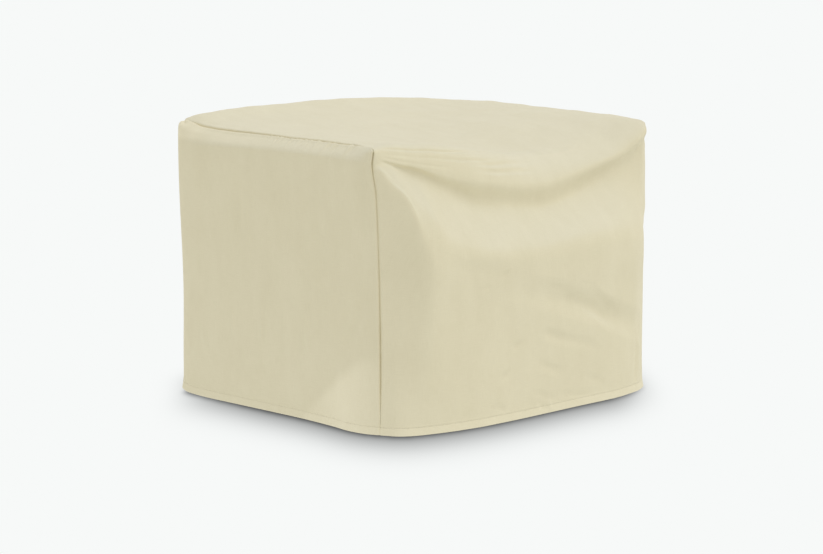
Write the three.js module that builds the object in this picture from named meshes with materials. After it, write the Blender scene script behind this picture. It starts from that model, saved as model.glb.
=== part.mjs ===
// Fitted cover for a low lounge chair, standing as it hangs over the chair: three cloths, sewn edge to edge.
// One long cloth runs up the front, over the top and down the back, and a cloth closes each side.
// Units are millimetres. X runs along the front to the right, Y from front to back and Z up, from the hem.
// The lines below are the folds and outlines of the outside. Each row is a point of its line: x, y and z.
import * as THREE from 'three'

// Cloth
const CLOTH = 2                 // thickness of the coated weave with its folds
const HEM_EXTRA = 1.2           // what the turned-up hem adds on the inside
const HEM_WIDTH = 12
const HEM_STEP = 4              // height over which the inside steps back to one layer
const FLAT_BELOW = 11           // points lower than this are the hem's edge, which lifts at one corner
const SEAM_GAP = 0.32           // clear space between two sewn edges
const CORNER_GAP = 1.3          // the same at the four points where a seam turns
const SHARPEST_SPREAD = 0.6     // least cosine between a cloth and the mitre of its seam
const SHARPEST_LEAN = 0.5       // least share of a step back from the seam that widens its gap
const COLOUR = '#d8d2b6'
const ROUGHNESS = 0.85

// Heights of the plain outlines
const WAIST_Z = 270
const BACK_WAIST_Z = 330

// Front of the long cloth, from the hem up
const FRONT_HEM = level(0, [
  [-491, -301], [-464, -337], [-398, -369], [-323, -392], [-240, -408], [-102, -411],
  [60, -411], [180, -410], [293, -390], [372, -350], [407, -322], [446, -282],
])
const FRONT_WAIST = level(WAIST_Z, [
  [-491, -301], [-440, -332], [-385, -364], [-330, -384], [-240, -404], [-102, -411],
  [60, -412], [180, -408], [293, -388], [372, -348], [407, -320], [446, -282],
])
const WALL_TOP = [
  [-491.5, -300, 508], [-470, -314, 500], [-440, -333, 472], [-405, -353, 420], [-385, -364, 385],
  [-330, -386, 368], [-240, -405, 358], [-102, -412, 350], [60, -412, 350], [180, -409, 350],
  [293, -389, 348], [372, -350, 345], [407, -323, 340], [446, -282, 340],
]
// The cloth turns from the upright wall to the slope over the seat's front edge here.
const BREAK = [
  [-495.5, -294.5, 590], [-484, -304, 600], [-474, -311, 601], [-460, -320, 593], [-427, -340, 558],
  [-409, -351, 506], [-390, -363, 462], [-338, -390, 430], [-283, -402, 414], [-177, -411, 399], [-56, -413, 391],
  [68, -412, 392], [214, -406, 395], [300, -387, 393], [372, -350, 388], [407, -325, 386], [446, -282, 385],
]
// The swag: a soft roll that sags between the arms, with a sharp valley under it.
const VALLEY = [
  [-498, -290, 618], [-476, -290, 619], [-415, -286, 602], [-361, -292, 581], [-301, -297, 558],
  [-183, -308, 519], [-57, -317, 491], [20, -318, 483], [121, -317, 494], [200, -314, 509],
  [280, -312, 533], [355, -325, 566], [412, -321, 601], [446, -282, 608],
]
const LIP = [
  [-499, -288.5, 635], [-463, -290, 631], [-361, -303, 605], [-273, -314, 580], [-189, -325, 554],
  [-114, -333, 536], [-27, -336, 523], [30, -336, 516], [121, -331, 533], [236, -327, 557],
  [317, -324, 579], [385, -326, 614], [418, -315, 630], [446, -284, 626],
]
const CREASE = [
  [-500, -287, 651], [-442, -285, 653], [-308, -280, 638], [-204, -275, 623], [-131, -270, 610],
  [-17, -262, 592], [60, -261, 587], [120, -265, 589], [224, -270, 598], [300, -280, 611],
  [370, -302, 632], [420, -306, 647], [437, -295, 647], [447, -284, 641],
]

// Top of the long cloth, from front to back. It sags between the two arms and rises to the back rail.
const TOP_FRONT = [
  [-482, -240, 655], [-440, -232, 655], [-300, -218, 642], [-200, -210, 629], [-80, -203, 609],
  [40, -200, 600], [150, -203, 604], [270, -215, 620], [360, -230, 642], [425, -238, 657],
  [458, -240, 656], [475, -240, 640],
]
const TOP_MIDDLE = [
  [-475, -60, 655], [-430, -60, 655], [-250, -60, 639], [0, -60, 624], [250, -60, 641],
  [430, -60, 659], [472, -60, 659], [490, -60, 653], [500, -60, 637],
]
const TOP_REAR = [
  [-475, 170, 656], [-430, 170, 659], [-250, 170, 654], [0, 170, 648], [250, 170, 654],
  [430, 170, 662], [472, 170, 662], [490, 170, 656], [500, 170, 637],
]
const TOP_BACK = [
  [-476, 325, 657], [-430, 325, 668], [-250, 325, 676], [0, 325, 677], [250, 325, 668],
  [430, 325, 662], [472, 325, 661], [490, 325, 655], [500, 325, 637],
]

// Back of the long cloth, from the rail down.
const RIM = [
  [-468, 402, 664], [-450, 390, 677], [-406, 384, 684], [-341, 384, 688], [-236, 384, 690],
  [-114, 384, 690], [25, 384, 689], [168, 384, 683], [279, 384, 676], [392, 384, 665],
  [450, 388, 656], [472, 396, 640],
]
const SHOULDER = [
  [-466, 409, 640], [-450, 412, 650], [-340, 411, 662], [-114, 412, 663], [168, 411, 656],
  [392, 410, 641], [450, 407, 622], [468, 400, 612],
]
const BACK_CHEST = [
  [-464, 409, 520], [-440, 412, 522], [-114, 412, 524], [168, 412, 522], [440, 409, 518], [467, 399, 515],
]
const BACK_WAIST = level(BACK_WAIST_Z, [
  [-462, 409], [-440, 412], [-200, 413], [0, 411], [200, 413], [440, 408], [466, 398],
])
const BACK_HEM = [
  [-458, 409, 7], [-430, 412, 5], [-330, 414, 0], [-200, 413, 0], [0, 409, 0],
  [200, 413, 0], [430, 408, 0], [462, 399, 0],
]

// Left side cloth, from the near front corner to the back corner.
const LEFT_HEM = [
  [-491, -301, 0], [-503, -268, 0], [-508, -221, 0], [-504, -164, 0], [-499, -60, 0], [-502, 70, 0],
  [-500, 200, 0], [-500, 320, 3], [-498, 375, 8], [-489, 397, 10], [-475, 407, 9], [-458, 409, 7],
]
const LEFT_WAIST = level(WAIST_Z, [
  [-491, -301], [-499, -280], [-502, -240], [-501, -160], [-500, 0], [-501, 200],
  [-500, 335], [-497, 374], [-487, 395], [-462, 409],
])
const LEFT_SHOULDER = [
  [-492, -300, 612], [-499, -286, 617], [-501, -240, 621], [-500, -150, 624], [-500, 0, 624],
  [-500, 126, 620], [-501, 271, 614], [-502, 340, 616], [-501, 380, 620], [-495, 400, 628],
  [-483, 409, 634], [-466, 409, 640],
]
const LEFT_BAND = [
  [-497, -292, 638], [-497, -270, 642], [-493, -240, 645], [-491, -150, 647], [-491, 0, 647],
  [-491, 126, 646], [-492, 271, 643], [-493, 340, 647], [-493, 380, 652], [-488, 396, 656],
  [-480, 404, 658], [-467, 407, 656],
]

// Right side cloth, from the front corner to the back corner. Its seam hangs just under the arm's edge.
const RIGHT_HEM = level(0, [
  [446, -282], [478, -225], [496, -160], [502, -90], [500, 60], [503, 200], [500, 320],
  [494, 364], [482, 388], [462, 399],
])
const RIGHT_WAIST = level(WAIST_Z, [
  [446, -282], [478, -225], [496, -160], [502, -90], [501, 60], [502, 200], [501, 320],
  [495, 366], [484, 389], [465, 398],
])
const RIGHT_SHOULDER = [
  [446, -282, 604], [478, -226, 606], [496, -162, 608], [501, -90, 609], [500, 60, 610],
  [500, 200, 610], [500, 325, 610], [497, 366, 610], [487, 389, 611], [468, 400, 612],
]

// Rows of faces between one line and the next
const WALL_ROWS = [0, HEM_WIDTH / WAIST_Z, (HEM_WIDTH + HEM_STEP) / WAIST_Z, 0.3, 0.53, 0.76]
const FRONT_ROWS = [WALL_ROWS, even(3), even(3), even(4), even(3), even(3)]
const TOP_ROWS = [even(2), even(3), even(3), even(3), even(4)]
const BACK_WALL_ROWS = [
  0, 0.2, 0.4, 0.6, 0.79, 1 - (HEM_WIDTH + HEM_STEP) / BACK_WAIST_Z, 1 - HEM_WIDTH / BACK_WAIST_Z,
]
const BACK_ROWS = [even(4), even(5), even(6), BACK_WALL_ROWS]
const LEFT_ROWS = [WALL_ROWS, [0, 0.22, 0.44, 0.66, 0.76, 0.86, 0.93], even(4), even(5)]
const RIGHT_ROWS = [WALL_ROWS, [0, 0.07, 0.14, 0.21, 0.255, 0.3, 0.34, 0.505, 0.67, 0.835], even(6)]
const COLUMNS = 30
const BORDER_REACH = 5          // faces over which a side cloth eases into its border
const CURVE_DIVISIONS = 2000    // steps in which the length of a line is measured
const FLOOR = new THREE.Vector3(-Infinity, -Infinity, 0)

/** Adds one height to a list of plan points. */
function level(z, points) {
  return points.map(([x, y]) => [x, y, z])
}

/** Fractions 0, 1/n, ... (n - 1)/n. */
function even(count) {
  return Array.from({ length: count }, (_, i) => i / count)
}

/** Fractions from 0 to 1 that lie closer together at both ends. */
function closeAtEnds(count) {
  return Array.from({ length: count + 1 }, (_, i) => (1 - Math.cos(Math.PI * i / count)) / 2)
}

/** Smooth curve through given values that never swings past them. */
function monotone(xs, ys) {
  const slopes = xs.slice(1).map((x, i) => (ys[i + 1] - ys[i]) / (x - xs[i]))
  const tangents = xs.map((_, i) => {
    const before = slopes[Math.max(i - 1, 0)]
    const after = slopes[Math.min(i, slopes.length - 1)]
    return before * after <= 0 ? 0 : 2 * before * after / (before + after)
  })
  return (x) => {
    const last = slopes.length - 1
    const found = xs.findIndex((edge, i) => i > 0 && x <= edge) - 1
    const i = found < 0 ? last : Math.min(found, last)
    const span = xs[i + 1] - xs[i]
    const t = Math.min(Math.max((x - xs[i]) / span, 0), 1)
    const rest = 1 - t
    return ys[i] * (1 + 2 * t) * rest * rest + ys[i + 1] * (3 - 2 * t) * t * t
      + span * (tangents[i] * t * rest * rest - tangents[i + 1] * t * t * rest)
  }
}

/** Points of a line at fractions of its run along X. */
function acrossX(line, fractions) {
  const xs = line.map((p) => p[0])
  const y = monotone(xs, line.map((p) => p[1]))
  const z = monotone(xs, line.map((p) => p[2]))
  return fractions.map((f) => {
    const x = THREE.MathUtils.lerp(xs[0], xs[xs.length - 1], f)
    return new THREE.Vector3(x, y(x), z(x))
  })
}

/** Smooth curve through a list of points. */
function curveThrough(points) {
  return new THREE.CatmullRomCurve3(points, false, 'centripetal')
}

/** Points of a line at fractions of its length, none of them under the floor. */
function alongLength(line, fractions) {
  const curve = curveThrough(line.map((p) => new THREE.Vector3(...p)))
  curve.arcLengthDivisions = CURVE_DIVISIONS
  return fractions.map((f) => curve.getPointAt(f).max(FLOOR))
}

/** Grid of points: each column is a smooth curve through its point of every line. */
function loft(lines, rowsBetween) {
  const stops = rowsBetween.flatMap((part, i) => part.map((f) => (i + f) / rowsBetween.length)).concat(1)
  const columns = lines[0].map((_, c) => {
    const curve = curveThrough(lines.map((line) => line[c]))
    return stops.map((t) => curve.getPoint(t))
  })
  return stops.map((_, r) => columns.map((column) => column[r]))
}

/** Unit normals of a grid, pointing to the outside for rows that rise and columns that run to the right. */
function gridNormals(grid) {
  const lastRow = grid.length - 1
  const lastColumn = grid[0].length - 1
  return grid.map((row, r) => row.map((_, c) => {
    const right = grid[r][Math.min(c + 1, lastColumn)].clone().sub(grid[r][Math.max(c - 1, 0)])
    const up = grid[Math.min(r + 1, lastRow)][c].clone().sub(grid[Math.max(r - 1, 0)][c])
    return right.cross(up).normalize()
  }))
}

/** Ease from 0 to 1. */
function ease(t) {
  return THREE.MathUtils.smoothstep(t, 0, 1)
}

/** Moves the inside of a grid so that its border lies on given points, easing out over a few columns. */
function fitBorder(grid, border, reach) {
  const rows = grid.length - 1
  const columns = grid[0].length - 1
  const shift = (side, r, c) => border[side][side === 'top' ? c : r].clone().sub(grid[r][c])
  const atFront = grid.map((_, r) => shift('front', r, 0))
  const atBack = grid.map((_, r) => shift('back', r, columns))
  const sidesFitted = grid.map((row, r) => row.map((p, c) => p.clone()
    .addScaledVector(atFront[r], 1 - ease(c / reach))
    .addScaledVector(atBack[r], 1 - ease((columns - c) / reach))))
  const atTop = border.top.map((p, c) => p.clone().sub(sidesFitted[rows][c]))
  return sidesFitted.map((row, r) => {
    const share = 1 - ease((rows - r) / reach)
    return row.map((p, c) => p.addScaledVector(atTop[c], share))
  })
}

/** Closed sheet from the grid of its outside and the way from each point to its inside. */
function sheet(outside, inward) {
  const rows = outside.length
  const columns = outside[0].length
  const count = rows * columns
  const inside = outside.map((row, r) => row.map((p, c) => p.clone().add(inward[r][c])))
  const positions = [...outside.flat(), ...inside.flat()].flatMap((p) => p.toArray())
  const index = []
  const quad = (a, b, c, d) => index.push(a, b, c, a, c, d)
  const at = (r, c) => r * columns + c
  for (let r = 0; r < rows - 1; r += 1) {
    for (let c = 0; c < columns - 1; c += 1) {
      const corners = [at(r, c), at(r, c + 1), at(r + 1, c + 1), at(r + 1, c)]
      quad(...corners)
      quad(...corners.map((i) => i + count).reverse())
    }
  }
  const rim = [
    ...Array.from({ length: columns }, (_, c) => at(0, c)),
    ...Array.from({ length: rows - 1 }, (_, r) => at(r + 1, columns - 1)),
    ...Array.from({ length: columns - 1 }, (_, c) => at(rows - 1, columns - 2 - c)),
    ...Array.from({ length: rows - 2 }, (_, r) => at(rows - 2 - r, 0)),
  ]
  rim.forEach((a, i) => {
    const b = rim[(i + 1) % rim.length]
    quad(a, a + count, b + count, b)
  })
  const geometry = new THREE.BufferGeometry()
  geometry.setAttribute('position', new THREE.Float32BufferAttribute(positions, 3))
  geometry.setIndex(index)
  geometry.computeVertexNormals()
  return geometry
}

/** Thickness of the cloth at a height: the hem is turned up on the inside. */
function thicknessAt(z) {
  return CLOTH + HEM_EXTRA * (1 - ease((z - HEM_WIDTH) / HEM_STEP))
}

/**
 * Way from outside to inside at one point of a seam, shared by both cloths so that their edges stay parallel,
 * and the unit way across the seam.
 */
function seamFrame(here, before, after, normalA, normalB) {
  const along = after.clone().sub(before).normalize()
  const middle = normalA.clone().add(normalB).projectOnPlane(along).normalize()
  const spread = Math.max(middle.dot(normalA.clone().projectOnPlane(along).normalize()), SHARPEST_SPREAD)
  const inward = alongFloor(here, middle.clone().multiplyScalar(-thicknessAt(here.z) / spread))
  return { inward, across: middle.clone().cross(along).normalize() }
}

/** Moves an edge point back from the seam, into its own cloth, by half the gap. */
function drawBack(point, neighbour, across, gap) {
  const into = neighbour.clone().sub(point).normalize()
  const lean = Math.max(Math.abs(into.dot(across)), SHARPEST_LEAN)
  return point.clone().addScaledVector(into, gap / 2 / lean)
}

/** Grid of the long cloth's outside, and how many of its rows belong to the front and the top. */
function longCloth() {
  const lines = [
    FRONT_HEM, FRONT_WAIST, WALL_TOP, BREAK, VALLEY, LIP, CREASE,
    TOP_FRONT, TOP_MIDDLE, TOP_REAR, TOP_BACK, RIM,
    SHOULDER, BACK_CHEST, BACK_WAIST, BACK_HEM,
  ].map((line) => acrossX(line, closeAtEnds(COLUMNS)))
  return {
    grid: loft(lines, [...FRONT_ROWS, ...TOP_ROWS, ...BACK_ROWS]),
    frontCount: FRONT_ROWS.flat().length,
    topCount: TOP_ROWS.flat().length,
  }
}

/** Border that a side cloth shares with one edge of the long cloth. */
function sharedBorder({ grid, frontCount, topCount }, column) {
  const edge = grid.map((row) => row[column])
  return {
    front: edge.slice(0, frontCount + 1),
    top: edge.slice(frontCount, frontCount + topCount + 1),
    back: edge.slice(frontCount + topCount).reverse(),
  }
}

/** Fractions of a border's length at which its points lie. */
function fractionsOf(points) {
  const lengths = points.slice(1).map((p, i) => p.distanceTo(points[i]))
  const reached = lengths.reduce((list, length) => [...list, list[list.length - 1] + length], [0])
  return reached.map((length) => length / reached[reached.length - 1])
}

/** Grid of a side cloth's outside, from its front corner to its back corner and from hem to top seam. */
function sideCloth(lines, rowsBetween, border) {
  const fractions = fractionsOf(border.top)
  const placed = lines.map((line) => alongLength(line, fractions))
  return fitBorder(loft([...placed, border.top], rowsBetween), border, BORDER_REACH)
}

/** The grid with its outside turned round, for the cloth on the other side. */
function mirrored(grid) {
  return grid.map((row) => [...row].reverse())
}

/** Where each point of the long cloth's edge lies on the side cloth: row, column and the point next to it. */
function sidePlaces(side, frontCount, topCount, backIsFirst) {
  const lastRow = side.length - 1
  const lastColumn = side[0].length - 1
  const column = (fromFront) => (backIsFirst ? lastColumn - fromFront : fromFront)
  const place = (row, fromFront, rowInside, fromFrontInside) => ({
    row,
    column: column(fromFront),
    inside: side[rowInside][column(fromFrontInside)],
  })
  const up = Array.from({ length: frontCount }, (_, r) => place(r, 0, r, 1))
  const across = Array.from({ length: topCount - 1 }, (_, c) => place(lastRow, c + 1, lastRow - 1, c + 1))
  const down = Array.from({ length: frontCount }, (_, r) => (
    place(lastRow - 1 - r, lastColumn, lastRow - 1 - r, lastColumn - 1)))
  return [
    ...up,
    place(lastRow, 0, lastRow - 1, 1),
    ...across,
    place(lastRow, lastColumn, lastRow - 1, lastColumn - 1),
    ...down,
  ]
}

/** Ways from outside to inside for a whole grid, square to the cloth. */
function inwardWays(grid, normals) {
  const wayAt = (p, normal) => alongFloor(p, normal.clone().multiplyScalar(-thicknessAt(p.z)))
  return grid.map((row, r) => row.map((p, c) => wayAt(p, normals[r][c])))
}

/** Keeps the way inside level at the hem's edge, so that the hem stands flat. */
function alongFloor(point, inward) {
  return point.z < FLAT_BELOW ? inward.setZ(0) : inward
}

/** Gives both cloths of a seam edges that lie side by side, a gap apart. */
function sewEdges(long, side, places, edgeColumn, columnInside, turns) {
  const edge = long.grid.map((row) => row[edgeColumn].clone())
  const gapAt = (k) => (turns.some((turn) => Math.abs(turn - k) < 2) ? CORNER_GAP : SEAM_GAP)
  const frames = edge.map((here, k) => {
    const { row, column } = places[k]
    const before = edge[Math.max(k - 1, 0)]
    const after = edge[Math.min(k + 1, edge.length - 1)]
    return seamFrame(here, before, after, long.normals[k][edgeColumn], side.normals[row][column])
  })
  const moved = frames.map(({ across }, k) => ({
    long: drawBack(edge[k], long.grid[k][columnInside], across, gapAt(k)),
    side: drawBack(edge[k], places[k].inside, across, gapAt(k)),
  }))
  frames.forEach(({ inward }, k) => {
    const { row, column } = places[k]
    long.grid[k][edgeColumn] = moved[k].long
    long.inward[k][edgeColumn] = inward
    side.grid[row][column] = moved[k].side
    side.inward[row][column] = inward
  })
}

/** A grid with its normals and inward ways. */
function asCloth(grid) {
  const normals = gridNormals(grid)
  return { grid, normals, inward: inwardWays(grid, normals) }
}

/** Named piece of the cover in its cloth. */
function piece(name, cloth) {
  const material = new THREE.MeshStandardMaterial({ color: COLOUR, roughness: ROUGHNESS, metalness: 0 })
  const mesh = new THREE.Mesh(sheet(cloth.grid, cloth.inward), material)
  mesh.name = name
  return mesh
}

/** The whole cover, its three cloths sewn along two long seams. */
function makeCover() {
  const { grid, frontCount, topCount } = longCloth()
  const leftGrid = sideCloth(
    [LEFT_HEM, LEFT_WAIST, LEFT_SHOULDER, LEFT_BAND], LEFT_ROWS, sharedBorder({ grid, frontCount, topCount }, 0))
  const rightGrid = sideCloth(
    [RIGHT_HEM, RIGHT_WAIST, RIGHT_SHOULDER], RIGHT_ROWS, sharedBorder({ grid, frontCount, topCount }, COLUMNS))
  const long = asCloth(grid)
  const left = asCloth(mirrored(leftGrid))
  const right = asCloth(rightGrid)
  const turns = [frontCount, frontCount + topCount]
  sewEdges(long, left, sidePlaces(left.grid, frontCount, topCount, true), 0, 1, turns)
  sewEdges(long, right, sidePlaces(right.grid, frontCount, topCount, false), COLUMNS, COLUMNS - 1, turns)
  const cover = new THREE.Group()
  cover.add(piece('front_top_back_panel', long))
  cover.add(piece('left_side_panel', left))
  cover.add(piece('right_side_panel', right))
  const middle = new THREE.Box3().setFromObject(cover).getCenter(new THREE.Vector3())
  cover.position.set(-middle.x, -middle.y, 0)
  return cover
}

export default makeCover()
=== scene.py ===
"""Looks of a fitted cloth cover for a low lounge chair, standing as it hangs over the chair.

Three cloths of coated weave are sewn edge to edge: a long one up the front, over the top and down the back,
and one on each side. Every cloth is a surface worked out from a few fold lines. Its seams, hem, creases and
puckers are laid on in real sizes. The fold lines and all sizes are in millimetres; meshes are in metres.
"""

import logging
import math
from collections.abc import Sequence
from dataclasses import dataclass
from enum import Enum

import bpy
import numpy as np
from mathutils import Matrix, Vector
from numpy.typing import NDArray


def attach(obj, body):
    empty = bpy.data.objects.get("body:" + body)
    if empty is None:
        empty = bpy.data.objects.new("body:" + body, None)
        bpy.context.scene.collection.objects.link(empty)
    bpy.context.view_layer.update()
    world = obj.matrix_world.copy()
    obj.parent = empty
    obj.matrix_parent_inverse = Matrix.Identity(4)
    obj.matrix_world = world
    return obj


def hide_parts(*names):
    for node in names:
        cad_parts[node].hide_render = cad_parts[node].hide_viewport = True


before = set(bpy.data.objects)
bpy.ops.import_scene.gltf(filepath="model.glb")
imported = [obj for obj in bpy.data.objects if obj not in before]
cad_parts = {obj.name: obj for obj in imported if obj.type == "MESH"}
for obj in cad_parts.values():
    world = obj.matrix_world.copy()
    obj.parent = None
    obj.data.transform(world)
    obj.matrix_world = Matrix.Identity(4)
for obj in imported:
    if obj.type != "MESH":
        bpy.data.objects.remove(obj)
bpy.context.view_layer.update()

Array = NDArray[np.float64]
Line = tuple[tuple[float, ...], ...]
Triple = tuple[float, float, float]
Colour = Triple
Socket = bpy.types.NodeSocket
Piece = bpy.types.Object

MM = 0.001
BODY = "root"
CUT = "cut"               # UV map: place on the flat cloth, in metres
# The up-facing share picks a painted light tint for the top.
UP_LIGHT_TINT = "faded"           # attribute: how far the cloth faces up
# Attribute of painted light and shade: how much paler the cloth is painted in places.
PAINTED_SHADING_ATTRIBUTE = "paled"           # attribute: how pale the cloth is besides
OPEN = "open_share"       # attribute: share of its light that the floor keeps
FINE_POINTS = 3000        # points on a line whose length is measured
EDGE_POINTS = 1200        # points on an upright seam that is searched for heights
SEAM_POINTS = 1500        # points on a top seam whose length is measured
GATHER_POINTS = 60        # points on a seam along which the cloth is gathered
MOST_STEPS = 400          # more steps than any edge needs
CLOSEST = 0.001           # columns nearer to each other than this share of the width are one
NOWHERE = -100.0          # a height far under the floor
log = logging.getLogger("cover")


# Numbers and curves


def ease(t: Array) -> Array:
    """Soft step from 0 to 1, 3t² - 2t³, held outside of that range.

    Args:
        t: Values of which 0 to 1 is the step.

    Returns:
        The eased values.
    """
    held = np.clip(t, 0.0, 1.0)
    return held * held * (3.0 - 2.0 * held)


def bell(t: Array) -> Array:
    """Bell curve, e to the power of -t²."""
    return np.exp(-(t**2))


def unit(vectors: Array) -> Array:
    """Vectors along the last axis, each divided by its length."""
    return vectors / np.maximum(np.linalg.norm(vectors, axis=-1, keepdims=True), 1e-9)


def reached(points: Array, axis: int = 0) -> Array:
    """Length run through along a row of points, from nought at the first.

    Args:
        points: Points, with x, y and z along the last axis.
        axis: The axis along which the points follow each other.

    Returns:
        The summed lengths, without the last axis.
    """
    steps = np.linalg.norm(np.diff(points, axis=axis), axis=-1)
    start = np.zeros_like(np.take(steps, [0], axis=axis))
    return np.concatenate([start, np.cumsum(steps, axis=axis)], axis=axis)


def monotone(xs: Array, ys: Array, at: Array) -> Array:
    """Smooth curve through given values that never swings past them.

    Each stretch is a cubic with given slopes at its ends. A slope is the harmonic mean of the chords on
    both sides, or nought where they turn.

    Args:
        xs: Rising places of the given values.
        ys: The given values.
        at: Places at which the curve is wanted.

    Returns:
        The curve's values.
    """
    spans = np.diff(xs)
    chords = np.diff(ys) / spans
    before = np.concatenate([chords[:1], chords])
    after = np.concatenate([chords, chords[-1:]])
    rising = before * after > 0
    slopes = np.where(rising, 2 * before * after / np.where(rising, before + after, 1.0), 0.0)
    i = np.clip(np.searchsorted(xs, at) - 1, 0, len(spans) - 1)
    t = np.clip((at - xs[i]) / spans[i], 0.0, 1.0)
    rest = 1.0 - t
    ends = ys[i] * (1 + 2 * t) * rest**2 + ys[i + 1] * (3 - 2 * t) * t**2
    return ends + spans[i] * (slopes[i] * t * rest**2 - slopes[i + 1] * t**2 * rest)


def through(points: Array, at: Array) -> Array:
    """Centripetal Catmull-Rom curves through rows of points.

    A stretch between two points is a cubic whose end slopes come from the neighbours, weighted by the
    square root of the distances, so that it makes no loops.

    Args:
        points: Points in the order in which the curve meets them, x, y and z along the last axis.
        at: Places along the curve; 0 is the first point, 1 the second and so on.

    Returns:
        The points at those places, first axis as long as the list of places.
    """
    line = np.concatenate([2 * points[:1] - points[1:2], points, 2 * points[-1:] - points[-2:-1]])
    gaps = np.sqrt(np.maximum(np.linalg.norm(np.diff(line, axis=0), axis=-1, keepdims=True), 1e-9))
    span = np.clip(at.astype(int), 0, len(points) - 2)
    t = (at - span).reshape((-1,) + (1,) * (points.ndim - 1))
    p0, p1, p2, p3 = (line[span + k] for k in range(4))
    g0, g1, g2 = (gaps[span + k] for k in range(3))
    out = ((p1 - p0) / g0 - (p2 - p0) / (g0 + g1) + (p2 - p1) / g1) * g1
    into = ((p2 - p1) / g1 - (p3 - p1) / (g1 + g2) + (p3 - p2) / g2) * g1
    square = -3 * p1 + 3 * p2 - 2 * out - into
    cube = 2 * p1 - 2 * p2 + out + into
    return p1 + t * (out + t * (square + t * cube))


def across_x(line: Line, fractions: Array) -> Array:
    """Points of a line that runs along X.

    Args:
        line: Points of the line.
        fractions: Fractions of its run along X, from 0 to 1.

    Returns:
        One point for each fraction, with y and z on smooth curves through those of the line.
    """
    rows = np.array(line, float)
    x = rows[0, 0] + (rows[-1, 0] - rows[0, 0]) * fractions
    return np.stack([x, monotone(rows[:, 0], rows[:, 1], x), monotone(rows[:, 0], rows[:, 2], x)], axis=-1)


def along_length(line: Line, fractions: Array) -> Array:
    """Points of a line at fractions of its length, none of them under the floor.

    Args:
        line: Points of the line.
        fractions: Fractions of its length, from 0 to 1.

    Returns:
        One point for each fraction.
    """
    fine = through(np.array(line, float), np.linspace(0, len(line) - 1, FINE_POINTS))
    length = reached(fine)
    points = np.stack([np.interp(fractions * length[-1], length, fine[:, k]) for k in range(3)], axis=-1)
    points[:, 2] = np.maximum(points[:, 2], 0.0)
    return points


def nearest_on(rows: Array, points: Array) -> tuple[Array, Array]:
    """Distance from each point to a line, and the line's value at the nearest place.

    Args:
        rows: Points of the line. Columns: x, y, z and the value there, which changes evenly in between.
        points: Any points.

    Returns:
        One distance and one value for each point.
    """
    nearest = np.full(points.shape[:-1], np.inf)
    values = np.zeros(points.shape[:-1])
    for start, end in zip(rows[:-1], rows[1:]):
        along = end[:3] - start[:3]
        share = np.clip((points - start[:3]) @ along / (along @ along), 0.0, 1.0)
        distance = np.linalg.norm(points - start[:3] - share[..., None] * along, axis=-1)
        closer = distance < nearest
        nearest = np.where(closer, distance, nearest)
        values = np.where(closer, start[3] + (end[3] - start[3]) * share, values)
    return nearest, values


def level(z: float, points: Line) -> Line:
    """Adds one height to a list of plan points."""
    return tuple((x, y, z) for x, y in points)


def stops(*spans: Sequence[float]) -> Array:
    """Places along a loft, from the fractions inside each of its spans.

    Args:
        spans: For each span its fractions from 0 up to, but without, 1.

    Returns:
        Rising places; 0 is the first line, 1 the second and so on.
    """
    return np.concatenate([k + np.asarray(span, float) for k, span in enumerate(spans)] + [[len(spans)]])


def even(count: int) -> Array:
    """Fractions 0, 1/n, ... (n - 1)/n."""
    return np.arange(count) / count


def from_edge(first: float, growth: float, widest: float, length: float) -> Array:
    """Distances from an edge, in steps that grow by a constant factor.

    Args:
        first: The first step.
        growth: The factor between two steps.
        widest: The widest step.
        length: The last distance, to which all are scaled.

    Returns:
        Rising distances from nought to the length.
    """
    steps = np.minimum(first * growth ** np.arange(MOST_STEPS), widest)
    places = np.concatenate([[0.0], np.cumsum(steps)])
    kept = places[: np.searchsorted(places, length) + 1]
    return kept * length / kept[-1]


# Fold lines of the long cloth, from the front hem over the top to the back hem. Columns: x, y and z.

WAIST_Z = 270.0
BACK_WAIST_Z = 330.0

FRONT_HEM = level(0, (
    (-494, -304), (-474, -342), (-446, -363), (-405, -378.5), (-331, -397), (-244, -409), (-102, -413),
    (60, -413), (180, -415), (293, -400), (345, -377), (374, -352), (406, -318), (446, -282),
))
FRONT_WAIST = level(WAIST_Z, (
    (-491, -301), (-466, -328), (-441, -354), (-424, -371.5), (-414, -379), (-402, -384),
    (-380, -387), (-330, -390), (-240, -398), (-102, -409), (60, -412), (180, -407),
    (293, -392), (345, -372), (373.5, -350), (407, -320.5), (446, -282),
))
WALL_TOP = (
    (-497, -294.5, 556), (-478, -315.5, 560), (-463, -332, 556), (-449, -347.5, 540), (-435, -363, 500),
    (-424, -374, 458), (-415, -381, 435), (-402, -386, 416), (-380, -388, 398), (-330, -390, 368),
    (-240, -398, 352), (-102, -410, 338), (60, -412, 338), (180, -408, 344), (293, -393, 347),
    (345, -373, 347), (373, -351, 346), (406, -321, 343), (446, -282, 342),
)
BREAK = (
    (-500.5, -289.5, 594), (-487, -301, 602), (-476, -309, 592), (-463, -318, 578), (-446, -332, 562),
    (-430, -341, 541), (-412, -353.5, 515), (-393, -363.5, 495), (-374, -370, 479), (-353, -374.5, 453),
    (-330, -381, 428), (-283, -391, 413), (-177, -401, 398), (-56, -404, 395), (68, -403, 406),
    (140, -401, 410), (214, -397, 408), (300, -383, 405),
    (345, -367, 402), (373, -349, 399), (406, -322, 396), (446, -282, 394),
)
VALLEY = (
    (-501.5, -288.5, 616), (-476, -293, 617), (-415, -292, 603), (-361, -296, 585), (-301, -302, 554),
    (-240, -307.5, 527), (-183, -313.5, 503), (-120, -321, 497), (-57, -324.5, 486.5), (20, -325, 479),
    (121, -319, 492), (200, -313, 512), (280, -308, 534), (355, -307, 557), (412, -307, 592),
    (446, -282, 602),
)
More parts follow.
